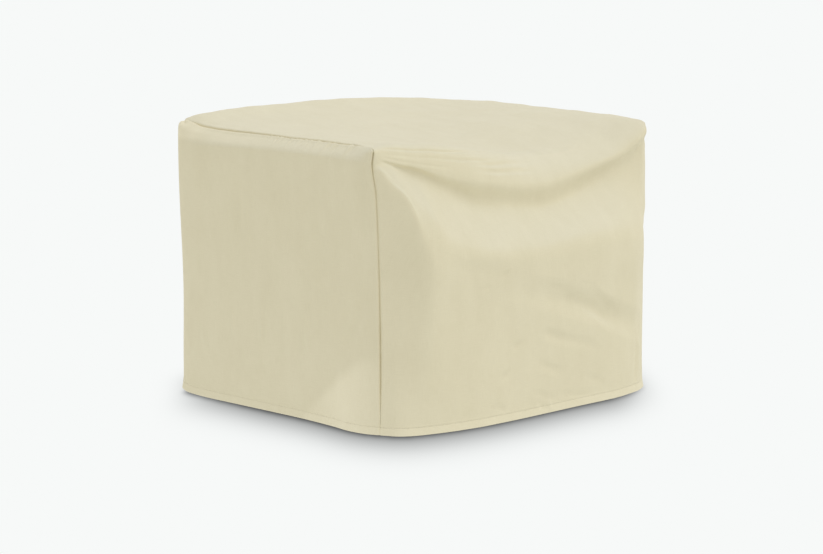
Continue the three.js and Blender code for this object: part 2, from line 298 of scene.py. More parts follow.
LIP = (
    (-502, -291, 634), (-463, -292, 627), (-420, -297, 614), (-361, -305, 600), (-308, -310, 583),
    (-273, -314, 573), (-230, -319, 562), (-189, -324, 557), (-114, -329, 546.5), (-27, -328, 536.5),
    (30, -328, 534.5), (75, -326.5, 538), (121, -323, 544.5), (236, -322, 565), (317, -321, 583),
    (385, -325, 611), (420, -318, 628), (447, -286, 626),
)
CREASE = (
    (-501, -290, 650), (-470, -286, 654), (-442, -285, 654.5), (-380, -289, 650), (-308, -292, 642),
    (-204, -292, 627), (-131, -290, 614.5), (-80, -286, 605.5), (-17, -280, 595.5), (60, -277, 590),
    (120, -278, 591.5), (224, -275, 600), (300, -280, 612), (370, -303, 632), (422, -308, 645.5),
    (439, -297, 644), (448, -286, 641),
)
TOP_FRONT = (
    (-477, -240, 654.5), (-440, -232, 655), (-300, -218, 642), (-200, -210, 629), (-80, -203, 609),
    (40, -200, 600), (150, -203, 606), (270, -215, 625), (360, -230, 645), (425, -238, 657),
    (458, -240, 653), (475, -240, 639),
)
TOP_MIDDLE = (
    (-464, -60, 654), (-430, -60, 655), (-250, -60, 639), (0, -60, 624), (250, -60, 641),
    (430, -60, 658), (472, -60, 657.5), (490, -60, 650), (500, -60, 636),
)
TOP_REAR = (
    (-464, 170, 655), (-430, 170, 659), (-250, 170, 654), (0, 170, 648), (250, 170, 654),
    (430, 170, 662), (472, 170, 662), (490, 170, 656), (500, 170, 637),
)
TOP_BACK = (
    (-469, 325, 659), (-430, 325, 669), (-250, 325, 676), (0, 325, 677), (250, 325, 668),
    (430, 325, 662), (472, 325, 661), (490, 325, 655), (500, 325, 637),
)
RIM = (
    (-472, 403, 671), (-450, 391, 680), (-406, 384, 684), (-341, 384, 688), (-236, 384, 690),
    (-114, 384, 690), (25, 384, 689), (168, 384, 683), (279, 384, 676), (392, 384, 665),
    (450, 388, 656), (472, 396, 640),
)
SHOULDER = (
    (-466, 408, 648), (-450, 412, 654), (-340, 411, 662), (-114, 412, 663), (168, 411, 656),
    (392, 410, 641), (450, 407, 622), (468, 400, 612),
)
BACK_CHEST = (
    (-464, 409, 520), (-440, 412, 522), (-114, 412, 524), (168, 412, 522), (440, 409, 518), (467, 399, 515),
)
BACK_WAIST = level(BACK_WAIST_Z, (
    (-462, 409), (-440, 412), (-200, 413), (0, 411), (200, 413), (440, 408), (466, 398),
))
BACK_HEM = (
    (-458, 409, 7), (-430, 412, 5), (-330, 414, 0), (-200, 413, 0), (0, 409, 0),
    (200, 413, 0), (430, 408, 0), (462, 399, 0),
)

# Fold lines of the left side cloth, from the near front corner to the back corner.

LEFT_HEM = (
    (-494, -304, 0), (-508, -269, 0), (-512.5, -221, 0), (-506.5, -164, 0.5), (-501, -60, 1), (-501, 70, 1),
    (-501, 200, 0.5), (-500, 320, 0.5), (-499, 372, 4), (-490, 395, 8), (-476, 405, 9), (-458, 409, 7),
)
LEFT_WAIST = level(WAIST_Z, (
    (-491, -301), (-499, -280), (-502, -240), (-501, -160), (-500, 0), (-500.5, 200),
    (-499.5, 310), (-497, 363), (-489.5, 390), (-477, 404), (-462, 409),
))
LEFT_SHOULDER = (
    (-494, -298, 610), (-500, -284, 614), (-502, -240, 616), (-504, -150, 617), (-504, 0, 617),
    (-504, 126, 614), (-503.5, 250, 608), (-503, 325, 606), (-501, 370, 608), (-497.8, 396.6, 615),
    (-487.8, 411, 627), (-468, 412.5, 643),
)
LEFT_ROLL = (
    (-497, -294, 626), (-500, -279, 628), (-499, -240, 629), (-500, -150, 629), (-500, 0, 629),
    (-500, 126, 627), (-500, 250, 623), (-499.5, 325, 622), (-499.5, 371.5, 626), (-498.3, 397, 633),
    (-490, 411, 643), (-470, 413.5, 654),
)
LEFT_BAND = (
    (-499, -290, 639), (-497, -270, 641), (-491, -240, 641), (-488, -150, 641), (-487, 0, 641),
    (-487, 126, 640), (-488, 250, 638), (-489.5, 325, 642), (-492, 371, 648), (-493, 396.5, 655),
    (-485.5, 408.5, 661), (-471.5, 409, 666.5),
)

# Fold lines of the right side cloth, from the front corner to the back corner.

RIGHT_HEM = level(0, (
    (446, -282), (478, -225), (496, -160), (502, -90), (500, 60), (503, 200), (500, 320),
    (494, 364), (482, 388), (462, 399),
))
RIGHT_WAIST = level(WAIST_Z, (
    (446, -282), (478, -225), (496, -160), (502, -90), (501, 60), (502, 200), (501, 320),
    (495, 366), (484, 389), (465, 398),
))
RIGHT_SHOULDER = (
    (446, -282, 604), (478, -226, 606), (496, -162, 608), (501, -90, 609), (500, 60, 610),
    (500, 200, 610), (500, 325, 610), (497, 366, 610), (487, 389, 611), (468, 400, 612),
)


# Folds, creases and puckers


@dataclass(frozen=True)
class Fold:
    """A soft ridge or trough that runs over the cloth, across seams where its path does.

    Attributes:
        path: Its points on the cloth. Columns: x, y, z and the height there, negative for a trough.
        left: Half its width on the left of its path, seen from outside.
        right: Half its width on the right.
        slack: How far a point may lie off the plane of the cloth without counting as further away.
    """

    path: Line
    left: float
    right: float
    slack: float = 15.0

    def height_at(self, points: Array, normals: Array) -> Array:
        """How far the fold lifts each point of a cloth.

        The lift is the height of the nearest point of the path, times (1 - d²)², where d is the distance to
        the path, measured along the cloth, over half the width on that side. What a point lies off the
        plane of the cloth is added to the distance, less the slack.

        Args:
            points: Grid of points of the cloth.
            normals: The cloth's unit normals at these points.

        Returns:
            The lift of each point along its normal.
        """
        rows = np.array(self.path, float)
        nearest = np.full(points.shape[:-1], np.inf)
        lift = np.zeros(points.shape[:-1])
        for start, end in zip(rows[:-1], rows[1:]):
            along = end[:3] - start[:3]
            share = np.clip((points - start[:3]) @ along / (along @ along), 0.0, 1.0)
            offset = points - start[:3] - share[..., None] * along
            out = (offset * normals).sum(axis=-1)
            distance = np.linalg.norm(offset - out[..., None] * normals, axis=-1)
            distance = distance + np.maximum(abs(out) - self.slack, 0.0)
            on_left = (np.cross(normals, along) * offset).sum(axis=-1) > 0
            d = distance / np.where(on_left, self.left, self.right)
            height = start[3] + (end[3] - start[3]) * ease(share)
            closer = distance < nearest
            nearest = np.where(closer, distance, nearest)
            lift = np.where(closer, height * np.clip(1 - d * d, 0.0, None) ** 2, lift)
        return lift


@dataclass(frozen=True)
class Gathers:
    """Row of small puckers that run down from a seam.

    Attributes:
        path: Points of the seam. Columns: x, y and z.
        facing: The way that the puckered cloth faces.
        pitch: Mean distance between two puckers.
        height: Their greatest height.
        reach: How far they run.
        fade: Length over which the row starts and ends.
        turned: Part of a normal along that way from which a cloth is puckered, and over which that sets in.
    """

    path: Line
    facing: Triple
    pitch: float
    height: float
    reach: float
    fade: float = 25.0
    turned: tuple[float, float] = (0.15, 0.35)

    def height_at(self, points: Array, normals: Array) -> Array:
        """How far the puckers lift each point of a cloth.

        Along the seam the lift is a sine, shifted by two slower sines and made higher and lower by a third.
        Away from it the lift is t e^(1 - t), with t the distance over a quarter of the reach, which varies
        as a sine too. It fades out at both ends of the path and on cloth that faces another way.

        Args:
            points: Grid of points of the cloth.
            normals: The cloth's unit normals at these points.

        Returns:
            The lift of each point along its normal.
        """
        line = through(np.array(self.path, float), np.linspace(0, len(self.path) - 1, GATHER_POINTS))
        length = reached(line)
        nearest, place = nearest_on(np.column_stack([line, length]), points)
        turn = 2 * math.pi * place / self.pitch
        uneven = turn + 0.9 * np.sin(0.31 * turn) + 0.5 * np.sin(0.73 * turn + 1.0)
        wave = np.sin(uneven) * (0.75 + 0.25 * np.sin(0.41 * turn))
        t = nearest / (self.reach / 4 * (1 + 0.3 * np.sin(0.57 * turn)))
        ends = ease(place / self.fade) * ease((length[-1] - place) / self.fade)
        least, width = self.turned
        share = ease((normals @ np.array(self.facing) - least) / width)
        return self.height * wave * t * np.exp(1 - t) * ends * share * (nearest < 2 * self.reach)


@dataclass(frozen=True)
class Ripple:
    """Faint unevenness of a hanging cloth: a sum of long waves in fixed directions.

    Attributes:
        height: About the height of the unevenness.
        length: Mean length of the waves.
        lean: How much shorter the waves are across than along Z, so that they run down as streaks.
        waves: How many waves are summed.
        seed: Start of the row of random numbers.
    """

    height: float = 0.7
    length: float = 150.0
    lean: float = 3.0
    waves: int = 24
    seed: int = 5

    def height_at(self, points: Array) -> Array:
        """The unevenness at each point, a sum of cosines of the place times a wave's direction.

        Args:
            points: Points of the cloth.

        Returns:
            The lift of each point.
        """
        random = np.random.default_rng(self.seed)
        turns = random.normal(size=(self.waves, 3)) / np.array([1.0, 1.0, self.lean])
        phases = random.uniform(0, 2 * math.pi, self.waves)
        angle = points @ (turns.T * 2 * math.pi / self.length) + phases
        return self.height * math.sqrt(2 / self.waves) * np.cos(angle).sum(axis=-1)


# Creases that fan out from the near corner along the front edge of the top.
CORNER_FAN = (
    Fold(((-476, -286, 653, -0.6), (-451, -292, 651, -1.0), (-379, -300, 644, -1.5), (-282, -300, 632, -2.0),
          (-167, -287, 616, -2.6), (-116, -277, 606, -2.8), (-85, -272, 599, -0.5)), 5, 5),
    Fold(((-430, -262, 657, 0), (-398, -276, 656, 0.7), (-300, -280, 645, 0.8), (-197, -270, 630, 0.8),
          (-120, -262, 615, 0)), 10, 10),
    Fold(((-466, -292, 639, -0.4), (-427, -298, 634, -0.7), (-368, -305, 626, -0.8), (-306, -307, 619, -1.0),
          (-240, -307, 609, -1.7), (-169, -303, 599, -2.0), (-110, -292, 588, -0.6)), 5, 5),
    Fold(((-465, -291, 631, -0.5), (-426, -298, 621, -0.7), (-369, -305, 610, -0.6), (-308, -310, 599, -0.8),
          (-272, -313, 593, -0.3)), 5, 5),
    Fold(((-210, -310, 598, -0.6), (-136, -305, 585, -2.8), (-30, -288, 575, -1.6), (40, -283, 571, 0)),
         10, 9),
    Fold(((-190, -316, 581, -0.6), (-129, -314, 570, -2.8), (-40, -306, 561, -1.8), (40, -303, 556, 0)),
         10, 9),
    Fold(((33, -261, 586, -0.8), (86, -262, 586, -1.8), (130, -261, 590, -2.2), (178, -260, 595, -2.2),
          (222, -263, 600, -0.8)), 5, 5),
    Fold(((-487, -288, 631, -0.8), (-465, -291, 620, -1.4), (-444, -292, 613, -1.2), (-419, -292, 604, -0.7),
          (-388, -293, 594, 0)), 5, 5),
)

# Faint tension folds across the top.
TOP_FOLDS = (
    Fold(((-401, -14, 655, 0.6), (-129, 194, 654, 1.5), (-16, 241, 660, 0)), 13, 13),
    Fold(((-406, -98, 654, 0), (-45, 175, 649, 1.8), (83, 215, 656, 1.2), (233, 220, 658, 0)), 50, 18),
)

# Dents in the front wall, where it hangs slack.
FRONT_DENTS = (
    Fold(((-230, -399, 328, 0), (-120, -409, 304, -2.8), (-7, -412, 272, -6.4), (60, -412, 250, -8.4),
          (140, -410, 224, -10), (200, -406, 201, -9.8), (250, -399, 182, -8.2), (300, -391, 164, -5),
          (345, -377, 146, 0)), 46, 44),
    Fold(((101, -412, 289, -1.5), (140, -410, 260, -3.2), (180, -408, 232, -4.2), (218, -405, 206, -1.4)),
         15, 44),
    Fold(((-10, -412, 272, -0.5), (28, -412, 266, -2.6), (84, -412, 250, -4.2), (129, -410, 229, -4.2),
          (165, -409, 207, -3.4), (205, -406, 190, -0.6)), 20, 24),
    Fold(((-35, -412, 301, -0.6), (-10, -412, 296, -2), (28, -412, 287, -0.6)), 9, 10),
    Fold(((-203, -401, 333, 0), (-183, -403, 345, -2.8), (-161, -406, 352, 0)), 10, 10),
    Fold(((-260, -394, 317, -0.8), (-235, -396, 322, -1.8)), 9, 9),
    Fold(((96, -411, 219, 0.3), (134, -410, 198, 2), (166, -409, 177, 1)), 16, 16),
    Fold(((-60, -411, 195, -1.2), (-35, -411, 188, -4), (0, -411, 176, -4), (49, -412, 162, -2.6),
          (104, -411, 148, -2.2), (143, -410, 128, -0.6)), 14, 20),
    Fold(((-75, -410, 124, -1), (-50, -411, 113, -3), (-20, -411, 101, -3), (10, -411, 95, -0.6)), 12, 15),
    Fold(((-166, -407, 164, 0), (-150, -408, 173, -3.2), (-124, -409, 182, -0.6)), 12, 12),
    Fold(((-210, -406, 96, 0), (-190, -407, 107, -3.4), (-165, -408, 116, -0.8)), 12, 12),
    Fold(((95, -411, 66, -1), (120, -411, 58, -2.4), (150, -410, 48, -1)), 13, 15),
    Fold(((-90, -410, 54, -0.8), (-72, -411, 49, -2.4), (-48, -411, 38, -2.4), (-15, -411, 30, -0.8)), 9, 10),
    Fold(((10, -411, 37, -1.2), (70, -411, 25, -1.8), (110, -411, 24, -0.8)), 9, 10),
    Fold(((-231, -406, 40, -1), (-196, -408, 32, -2)), 8, 9),
    Fold(((-330, -386, 238, -1.2), (-313, -389, 245, -1.2)), 6, 6),
    Fold(((-52, -411, 44, 0), (-42, -411, 22, 3), (-38, -411, 8, 2)), 9, 9),
    Fold(((-75, -411, 30, -2.2), (-64, -411, 12, -1.2)), 8, 8),
)

# The soft bulge of the right front corner, and two upright creases beside it.
TURN_CREASES = (
    Fold(((440, -286, 622, 0), (440, -286, 588, 7), (441, -285, 535, 9), (442, -284, 485, 9),
          (443, -283, 440, 9.6), (443, -283, 400, 5.6), (443, -283, 350, 0)), 50, 50),
    Fold(((296, -391, 150, 0), (298, -391, 100, -2.8), (291, -393, 53, -2.8), (287, -394, 18, -1.4)), 10, 10),
    Fold(((314, -386, 145, 0), (315, -386, 95, 2), (308, -388, 40, 1.6)), 11, 11),
)

# Where the seam draws the cloth in, and a little ridge beside it, at the near and at the far left corner.
DRAWN_CORNERS = (
    Fold(((-500, -278, 645, 1), (-502, -281, 634, 1.4), (-502, -284, 622, 0)), 4, 4),
    Fold(((-502, -272, 632, -2), (-503, -280, 584, -2.4), (-500, -284, 526, 0)), 22, 14),
    Fold(((-498, -294, 556, -1.6), (-491, -301, 551, -2.6), (-486, -307, 549, -2.2), (-483, -310, 536, 0)),
         4.5, 4.5),
    Fold(((-470, 402, 668, -2.4), (-477, 393, 663, -3.4), (-478, 380, 659, -0.5)), 6, 6),
)

# Faint, mostly upright folds of the left wall.
LEFT_FOLDS = (
    Fold(((-502, -251, 292, -1.5), (-502, -239, 247, -3), (-503, -213, 197, 0)), 24, 20),
    Fold(((-502, -41, 357, -1), (-502, -65, 348, -1)), 7, 7),
    Fold(((-501, -43, 331, 0.6), (-501, -112, 333, 0.9)), 9, 9),
    Fold(((-501, -78, 319, -0.6), (-501, -146, 316, -1)), 8, 8),
    Fold(((-500, 304, 184, 0), (-500, 305, 145, 1.6), (-500, 290, 113, 1.6), (-500, 262, 83, 0)), 14, 14),
    Fold(((-501, 161, 123, 1), (-501, 107, 121, 1)), 18, 18),
    Fold(((-501, 198, 264, 0), (-501, 200, 202, -1.8), (-500, 198, 130, 0)), 22, 22),
    Fold(((-500, 90, 264, 0), (-501, 92, 192, 1.8), (-501, 93, 144, 0)), 14, 14),
    Fold(((-500, 17, 274, 0), (-500, 15, 202, -1.6), (-500, 12, 150, 0)), 16, 16),
    Fold(((-500, -59, 247, 0), (-500, -57, 176, -1.8), (-499, -60, 141, -0.5)), 14, 14),
    Fold(((-506, 159, 545, -1), (-505, 162, 462, -2.2), (-503, 163, 401, 0)), 24, 24),
    Fold(((-506, -119, 546, 0), (-504, -117, 453, -1.8), (-503, -106, 382, 0)), 26, 26),
    Fold(((-503, 312, 398, 0), (-501, 311, 324, -1.6), (-501, 310, 290, 0)), 18, 18),
)

FOLDS: tuple[Fold | Gathers, ...] = (
    *CORNER_FAN, *TOP_FOLDS, *FRONT_DENTS, *TURN_CREASES, *DRAWN_CORNERS, *LEFT_FOLDS,
    Gathers(((-464, -50, 653), (-468, -113, 653), (-476, -225, 653)), (-1, 0, 0), 27, 3.0, 40),
    Gathers(((-465, 105, 653), (-465, 25, 652), (-466, -80, 652)), (-1, 0, 0), 17, 2.3, 28),
)


@dataclass(frozen=True)
class PaintedLightCorner:
    """Painted light: paler cloth low on the left wall by the near corner, under a slanting edge.

    Attributes:
        edge: Points of its upper edge. Columns: y and z.
        softness: Width over which it fades out.
        middle: Where it is palest, as y and z.
        spread: Radius of the palest part.
        shares: How pale it is all over, and how much more in the middle.
        by_seam: Part of that which is left right by the corner's seam.
        growth_y: Place along Y from which it grows to its full share.
        wall_x: The wall lies left of this.
        seam_y: The corner's seam, as a place along Y.
    """

    edge: Line = (
        (-305, 168), (-283, 169), (-249, 164), (-218, 144), (-171, 109), (-113, 59), (-61, 8), (-40, -20),
    )
    softness: float = 42.0
    middle: tuple[float, float] = (-195.0, 73.0)
    spread: float = 75.0
    shares: tuple[float, float] = (0.37, 0.42)
    by_seam: float = 0.6
    growth_y: float = -300.0
    wall_x: float = -480.0
    seam_y: float = -303.0

    def share(self, points: Array) -> Array:
        """How much painted light each point has, from 0 to 1.

        The share rises in soft steps under the edge and away from the near corner's seam. It is the first
        of the two shares, plus the second times a bell round the middle.

        Args:
            points: Points of the cover.

        Returns:
            The share, nought off the left wall.
        """
        y, z = np.array(self.edge, float).T
        across, up = points[..., 1], points[..., 2]
        edge = np.interp(across, y, z, left=NOWHERE, right=NOWHERE)
        under = ease((edge - up) / self.softness + 0.5)
        beside = self.by_seam + (1 - self.by_seam) * ease((across - self.growth_y) / self.softness)
        far = ((across - self.middle[0]) ** 2 + (up - self.middle[1]) ** 2) / self.spread**2
        all_over, more = self.shares
        on_wall = (points[..., 0] < self.wall_x) * (across > self.seam_y)
        return under * beside * (all_over + more * np.exp(-far)) * on_wall


@dataclass(frozen=True)
class PaintedShadingShares:
    """Painted light and shade: how much paler the cloths are painted in places.

    Attributes:
        plain: The share on the long and the right cloth.
        front: Place along Y in front of which the long cloth's own shares count, and the step's width.
        shaded: From where to where along X the plain share rises on the front, from nought by the near
        corner, as painted shade.
        shaded_above: Height above which it is nought there; it sinks over as much again.
        foot: Painted light: share that the front has more, low by the near corner.
        foot_top: Height up to which it has that, and over which the share falls.
        foot_end: The same along X.
        turn: Painted light: share along the turn over the near corner.
        turn_start: Place along X and height of the turn at that corner.
        turn_slope: How fast the turn sinks along X.
        turn_middle: Where along X it is palest.
        turn_reach: How far along X and Z that reaches.
        wall: Painted light up the left wall, most at its foot. Columns: z and the share.
        roll: Painted light on the roll under the left top seam. Columns: y and the share.
        roll_edge: Height at which the roll's share starts, and over which it rises.
        corner: The painted light low by the near corner.
    """

    plain: float = 0.13
    front: tuple[float, float] = (-200.0, 60.0)
    shaded: tuple[float, float] = (-400.0, -300.0)
    shaded_above: float = 200.0
    foot: float = 0.22
    foot_top: tuple[float, float] = (190.0, 150.0)
    foot_end: tuple[float, float] = (-395.0, 60.0)
    turn: float = 0.27
    turn_start: tuple[float, float] = (-468.0, 636.0)
    turn_slope: float = 0.27
    turn_middle: float = -400.0
    turn_reach: tuple[float, float] = (110.0, 20.0)
    wall: Line = ((0, 0.12), (60, 0.15), (160, 0.12), (300, 0.08), (400, 0.04), (480, 0))
    roll: Line = (
        (-290, 0), (-240, 0.02), (-199, 0.12), (-117, 0.22), (-47, 0.17), (22, 0.16), (95, 0.24), (170, 0.34),
        (227, 0.42), (302, 0.46), (339, 0.65),
    )
    roll_edge: tuple[float, float] = (619.0, 16.0)
    corner: PaintedLightCorner = PaintedLightCorner()

    def left(self, points: Array) -> Array:
        """Painted light on the left cloth: the wall's share, plus those of the corner patch and of the roll.

        Args:
            points: Points of the cloth.

        Returns:
            The share of each point, from 0 to 1.
        """
        wall = np.interp(points[..., 2], *np.array(self.wall, float).T)
        roll = np.interp(points[..., 1], *np.array(self.roll, float).T)
        start, rise = self.roll_edge
        roll = roll * ease((points[..., 2] - start) / rise)
        return np.clip(wall + self.corner.share(points) + roll, 0.0, 1.0)

    def others(self, points: Array) -> Array:
        """How much paler the other cloths are painted.

        The share is even, but for the front: there it sinks to nought high by the near corner, as painted
        shade, is higher at its foot, and has a bell along the turn over that corner, both painted light.

        Args:
            points: Points of the cloth.

        Returns:
            The share of each point.
        """
        x, y, z = np.moveaxis(points, -1, 0)
        front = ease((self.front[0] - y) / self.front[1]) * (x < 0)
        start, end = self.shaded
        high = ease((z - self.shaded_above) / self.shaded_above)
        even = self.plain * (1 - front * high * (1 - ease((x - start) / (end - start))))
        low = ease((self.foot_top[0] - z) / self.foot_top[1])
        even = even + self.foot * front * low * ease((self.foot_end[0] - x) / self.foot_end[1])
        line = self.turn_start[1] - self.turn_slope * (x - self.turn_start[0])
        along, up = self.turn_reach
        palest = np.exp(-(((x - self.turn_middle) / along) ** 2) - ((z - line) / up) ** 2)
        return even + self.turn * palest * front


# Cloths as grids


@dataclass
class Grid:
    """A cloth's outside as a grid: rows from the hem up, columns to the right, seen from outside.

    Attributes:
        points: Its points, by row and column, with x, y and z along the last axis.
    """

    points: Array

    @property
    def normals(self) -> Array:
        """Unit normals to the outside: the way to the right, crossed with the way up."""
        return unit(np.cross(np.gradient(self.points, axis=1), np.gradient(self.points, axis=0)))

    @property
    def run(self) -> Array:
        """Place of each point across the cloth, counted from the middle column."""
        lengths = reached(self.points, axis=1)
        return lengths - lengths[:, [lengths.shape[1] // 2]]

    @property
    def rise(self) -> Array:
        """Place of each point along the cloth, counted from the first row."""
        return reached(self.points, axis=0)


@dataclass(frozen=True)
class Puckers:
    """Small puckers along the stitches of a hem.

    Attributes:
        height: Their height.
        length: Length along the hem over which their wave turns by one radian.
        sway: By how many radians the wave comes early or late.
        sway_length: The same length for that swaying.
        even: Share of their height that is the same all along.
        swell_length: The same length for the rest of it, which swells and sinks.
        start: Radians by which the swelling is ahead.
        reach: How far from the stitches they run.
    """

    height: float
    length: float
    sway: float
    sway_length: float
    even: float
    swell_length: float
    start: float
    reach: float

    def lift(self, run: Array, over: Array) -> Array:
        """A swaying sine along the hem, times a share that swells as a sine, times a bell over the stitches.

        Args:
            run: Place of each point along the hem.
            over: Its height over the stitches.

        Returns:
            The lift of each point along its normal.
        """
        wave = np.sin(run / self.length + self.sway * np.sin(run / self.sway_length))
        share = self.even + (1 - self.even) * np.sin(run / self.swell_length + self.start)
        return self.height * (wave * share) * bell(over / self.reach)


@dataclass(frozen=True)
class Hem:
    """Turned-up hem: a doubled band with a row of stitches near its inner edge.

    Attributes:
        width: Height of the turned-up band.
        stitch_height: Height of the stitches over the hem's edge.
        roundness: Radius of the folded edge.
        puff: How far the band swells between its edge and the stitches.
        sink: How deep the stitches pull the cloth in, and over which height.
        pile: How far the cloth piles up over the stitches, how far over them, and over which height.
        puckers: The puckers round the stitches, wide and fine.
        flare: How far the hem's edge stands out from the wall.
        flare_reach: Height over which it does so.
        extra: What the turned-up layer adds on the inside.
        step: Height over which the inside steps back to one layer.
        rows: Heights over the hem's edge at which a cloth has rows, up to where the wall is plain.
        painted_band_light: Painted light: how much paler the band is painted, and its folded edge as a
            painted highlight.
        painted_band_fade: Height over which each of the two fades.
        painted_band_under: How far under the stitches the band's share starts to fade.
    """

    width: float = 20.0
    stitch_height: float = 18.0
    roundness: float = 1.3
    puff: float = 0.3
    sink: tuple[float, float] = (0.55, 1.1)
    pile: Triple = (0.35, 3.0, 1.8)
    puckers: tuple[Puckers, ...] = (
        Puckers(0.35, 7.9, 2.0, 61.0, 0.0, 47.0, 0.4, 7.0),
        Puckers(0.3, 2.2, 1.6, 19.0, 0.6, 83.0, 0.0, 6.0),
    )
    flare: float = 3.0
    flare_reach: float = 26.0
    extra: float = 1.2
    step: float = 4.0
    rows: tuple[float, ...] = (
        0, 0.25, 0.7, 1.3, 2.2, 4, 6.5, 9, 11.5, 13.7, 15.4, 16.6, 17.4, 18, 18.6, 19.4, 20.6, 22.5, 25.5, 30,
    )
    painted_band_light: tuple[float, float] = (0.2, 0.3)
    painted_band_fade: tuple[float, float] = (4.0, 2.5)
    painted_band_under: float = 3.0

    def stop_heights(self) -> Array:
        """The rows' heights as an array."""
        return np.array(self.rows, float)

    def rounding(self, height: Array) -> Array:
        """How far the folded edge lies back from the band: a quarter circle."""
        below = np.clip(1 - height / self.roundness, 0.0, 1.0)
        return self.roundness * (1 - np.sqrt(1 - below**2))

    def relief(self, height: Array, run: Array) -> Array:
        """Lift of the outside over the plain wall.

        The folded edge is a quarter circle, the band swells as half a sine, and it stands out towards its
        edge as a square. The stitches pull in a bell-shaped groove, deeper and shallower along the hem as a
        product of two sines, the cloth piles up in a bell over it, and the puckers lie round it.

        Args:
            height: Height of each point over the hem's edge.
            run: Its place along the hem.

        Returns:
            The lift of each point along its normal.
        """
        edge = -self.rounding(height)
        band = self.puff * np.sin(math.pi * np.clip(height / self.stitch_height, 0.0, 1.0))
        over = height - self.stitch_height
        pull = 0.75 + 0.25 * np.sin(run / 4.7) * np.sin(run / 13.1 + 1.0)
        depth, width = self.sink
        lift = edge + band - depth * pull * bell(over / width)
        most, above, width = self.pile
        lift = lift + most * bell((over - above) / width)
        for row in self.puckers:
            lift = lift + row.lift(run, over)
        return lift + self.flare * (1 - np.clip(height / self.flare_reach, 0.0, 1.0)) ** 2

    def paler(self, height: Array) -> Array:
        """Painted light: how much paler the doubled band is painted up to its stitches, and its folded edge
        most of all, a painted highlight.
        """
        ups = (height - self.stitch_height + self.painted_band_under, height)
        return sum(share * (1 - ease(up / fade)) for share, up, fade in zip(self.painted_band_light, ups, self.painted_band_fade))

    def thickness(self, height: Array, cloth: float) -> Array:
        """Thickness of the cloth at a height: two layers in the band, one above it."""
        return cloth + self.extra * (1 - ease((height - self.width) / self.step))


@dataclass(frozen=True)
class SeamGroove:
    """How two cloths turn in where they are sewn together.

    Attributes:
        gap: Clear space between the two edges.
        reach: Width on each side over which the cloth turns in.
        depth: How deep the edges lie.
        swell: How far the cloth swells beside the groove.
        swell_place: Where it does so most, in reaches from the seam.
        pulls: How hard the left seam pulls along its way. Columns: x, y, z and a share of the full depth.
    """

    gap: float = 0.4
    reach: float = 5.2
    depth: float = 6.5
    swell: float = 0.9
    swell_place: float = 1.6
    pulls: Line = (
        (-494, -304, 0, 0.3), (-493, -303, 50, 0.4), (-491, -301, 110, 0.9), (-491, -301, 250, 0.85),
        (-493, -299, 400, 0.6), (-497, -294.5, 556, 0.5), (-500.5, -289.5, 594, 0.6),
        (-501.5, -286.5, 620, 1.1), (-501.5, -284, 642, 1.5), (-500, -280, 651, 0.4),
        (-488, -264, 654, 0.12), (-478, -236, 654, 0.12), (-475, -212, 654, 0.5),
        (-470, -160, 654, 1.1), (-464, -60, 654, 1.5), (-464, 170, 655, 1.9), (-468, 305, 658, 1.7),
        (-469, 345, 661, 0.7), (-470, 372, 666, 0.12), (-471, 394, 670, 0.2), (-470, 405, 665, 1.3),
        (-467, 408, 655, 0.3), (-466, 409, 640, 0.5), (-464, 409, 520, 0.9), (-458, 409, 7, 0.9),
    )

    def pull(self, points: Array) -> Array:
        """How hard the seam pulls at points near it; the right seam pulls evenly."""
        pulls = nearest_on(np.array(self.pulls, float), points)[1]
        return np.where(points[..., 0] < 0, pulls, 1.0)

    def sink(self, distance: Array) -> Array:
        """Depth away from the seam: the depth times (1 - d)², with d the distance over the reach."""
        return self.depth * np.clip(1 - distance / self.reach, 0.0, 1.0) ** 2

    def swelling(self, distance: Array) -> Array:
        """Height of the swelling beside the groove, a bell as wide as the reach."""
        return self.swell * bell((distance - self.swell_place * self.reach) / self.reach)


class Side(Enum):
    """The side of the chair that a side cloth closes, seen from the front."""

    LEFT = "left"
    RIGHT = "right"

    @property
    def turned(self) -> float:
        """Sign of the outside normals of a grid that runs from this side's front corner to its back one."""
        return -1.0 if self is Side.LEFT else 1.0


@dataclass
class Seam:
    """The seam that joins a side cloth to one long edge of the long cloth.

    Attributes:
        places: Places along the long cloth's edge; 0 is its first fold line, 1 the second and so on.
        inward: For each place the unit way in between the two cloths.
    """

    places: Array
    inward: Array

    def way(self, places: Array) -> Array:
        """The way in at other places along the edge."""
        return unit(np.stack([np.interp(places, self.places, self.inward[:, k]) for k in range(3)], axis=-1))


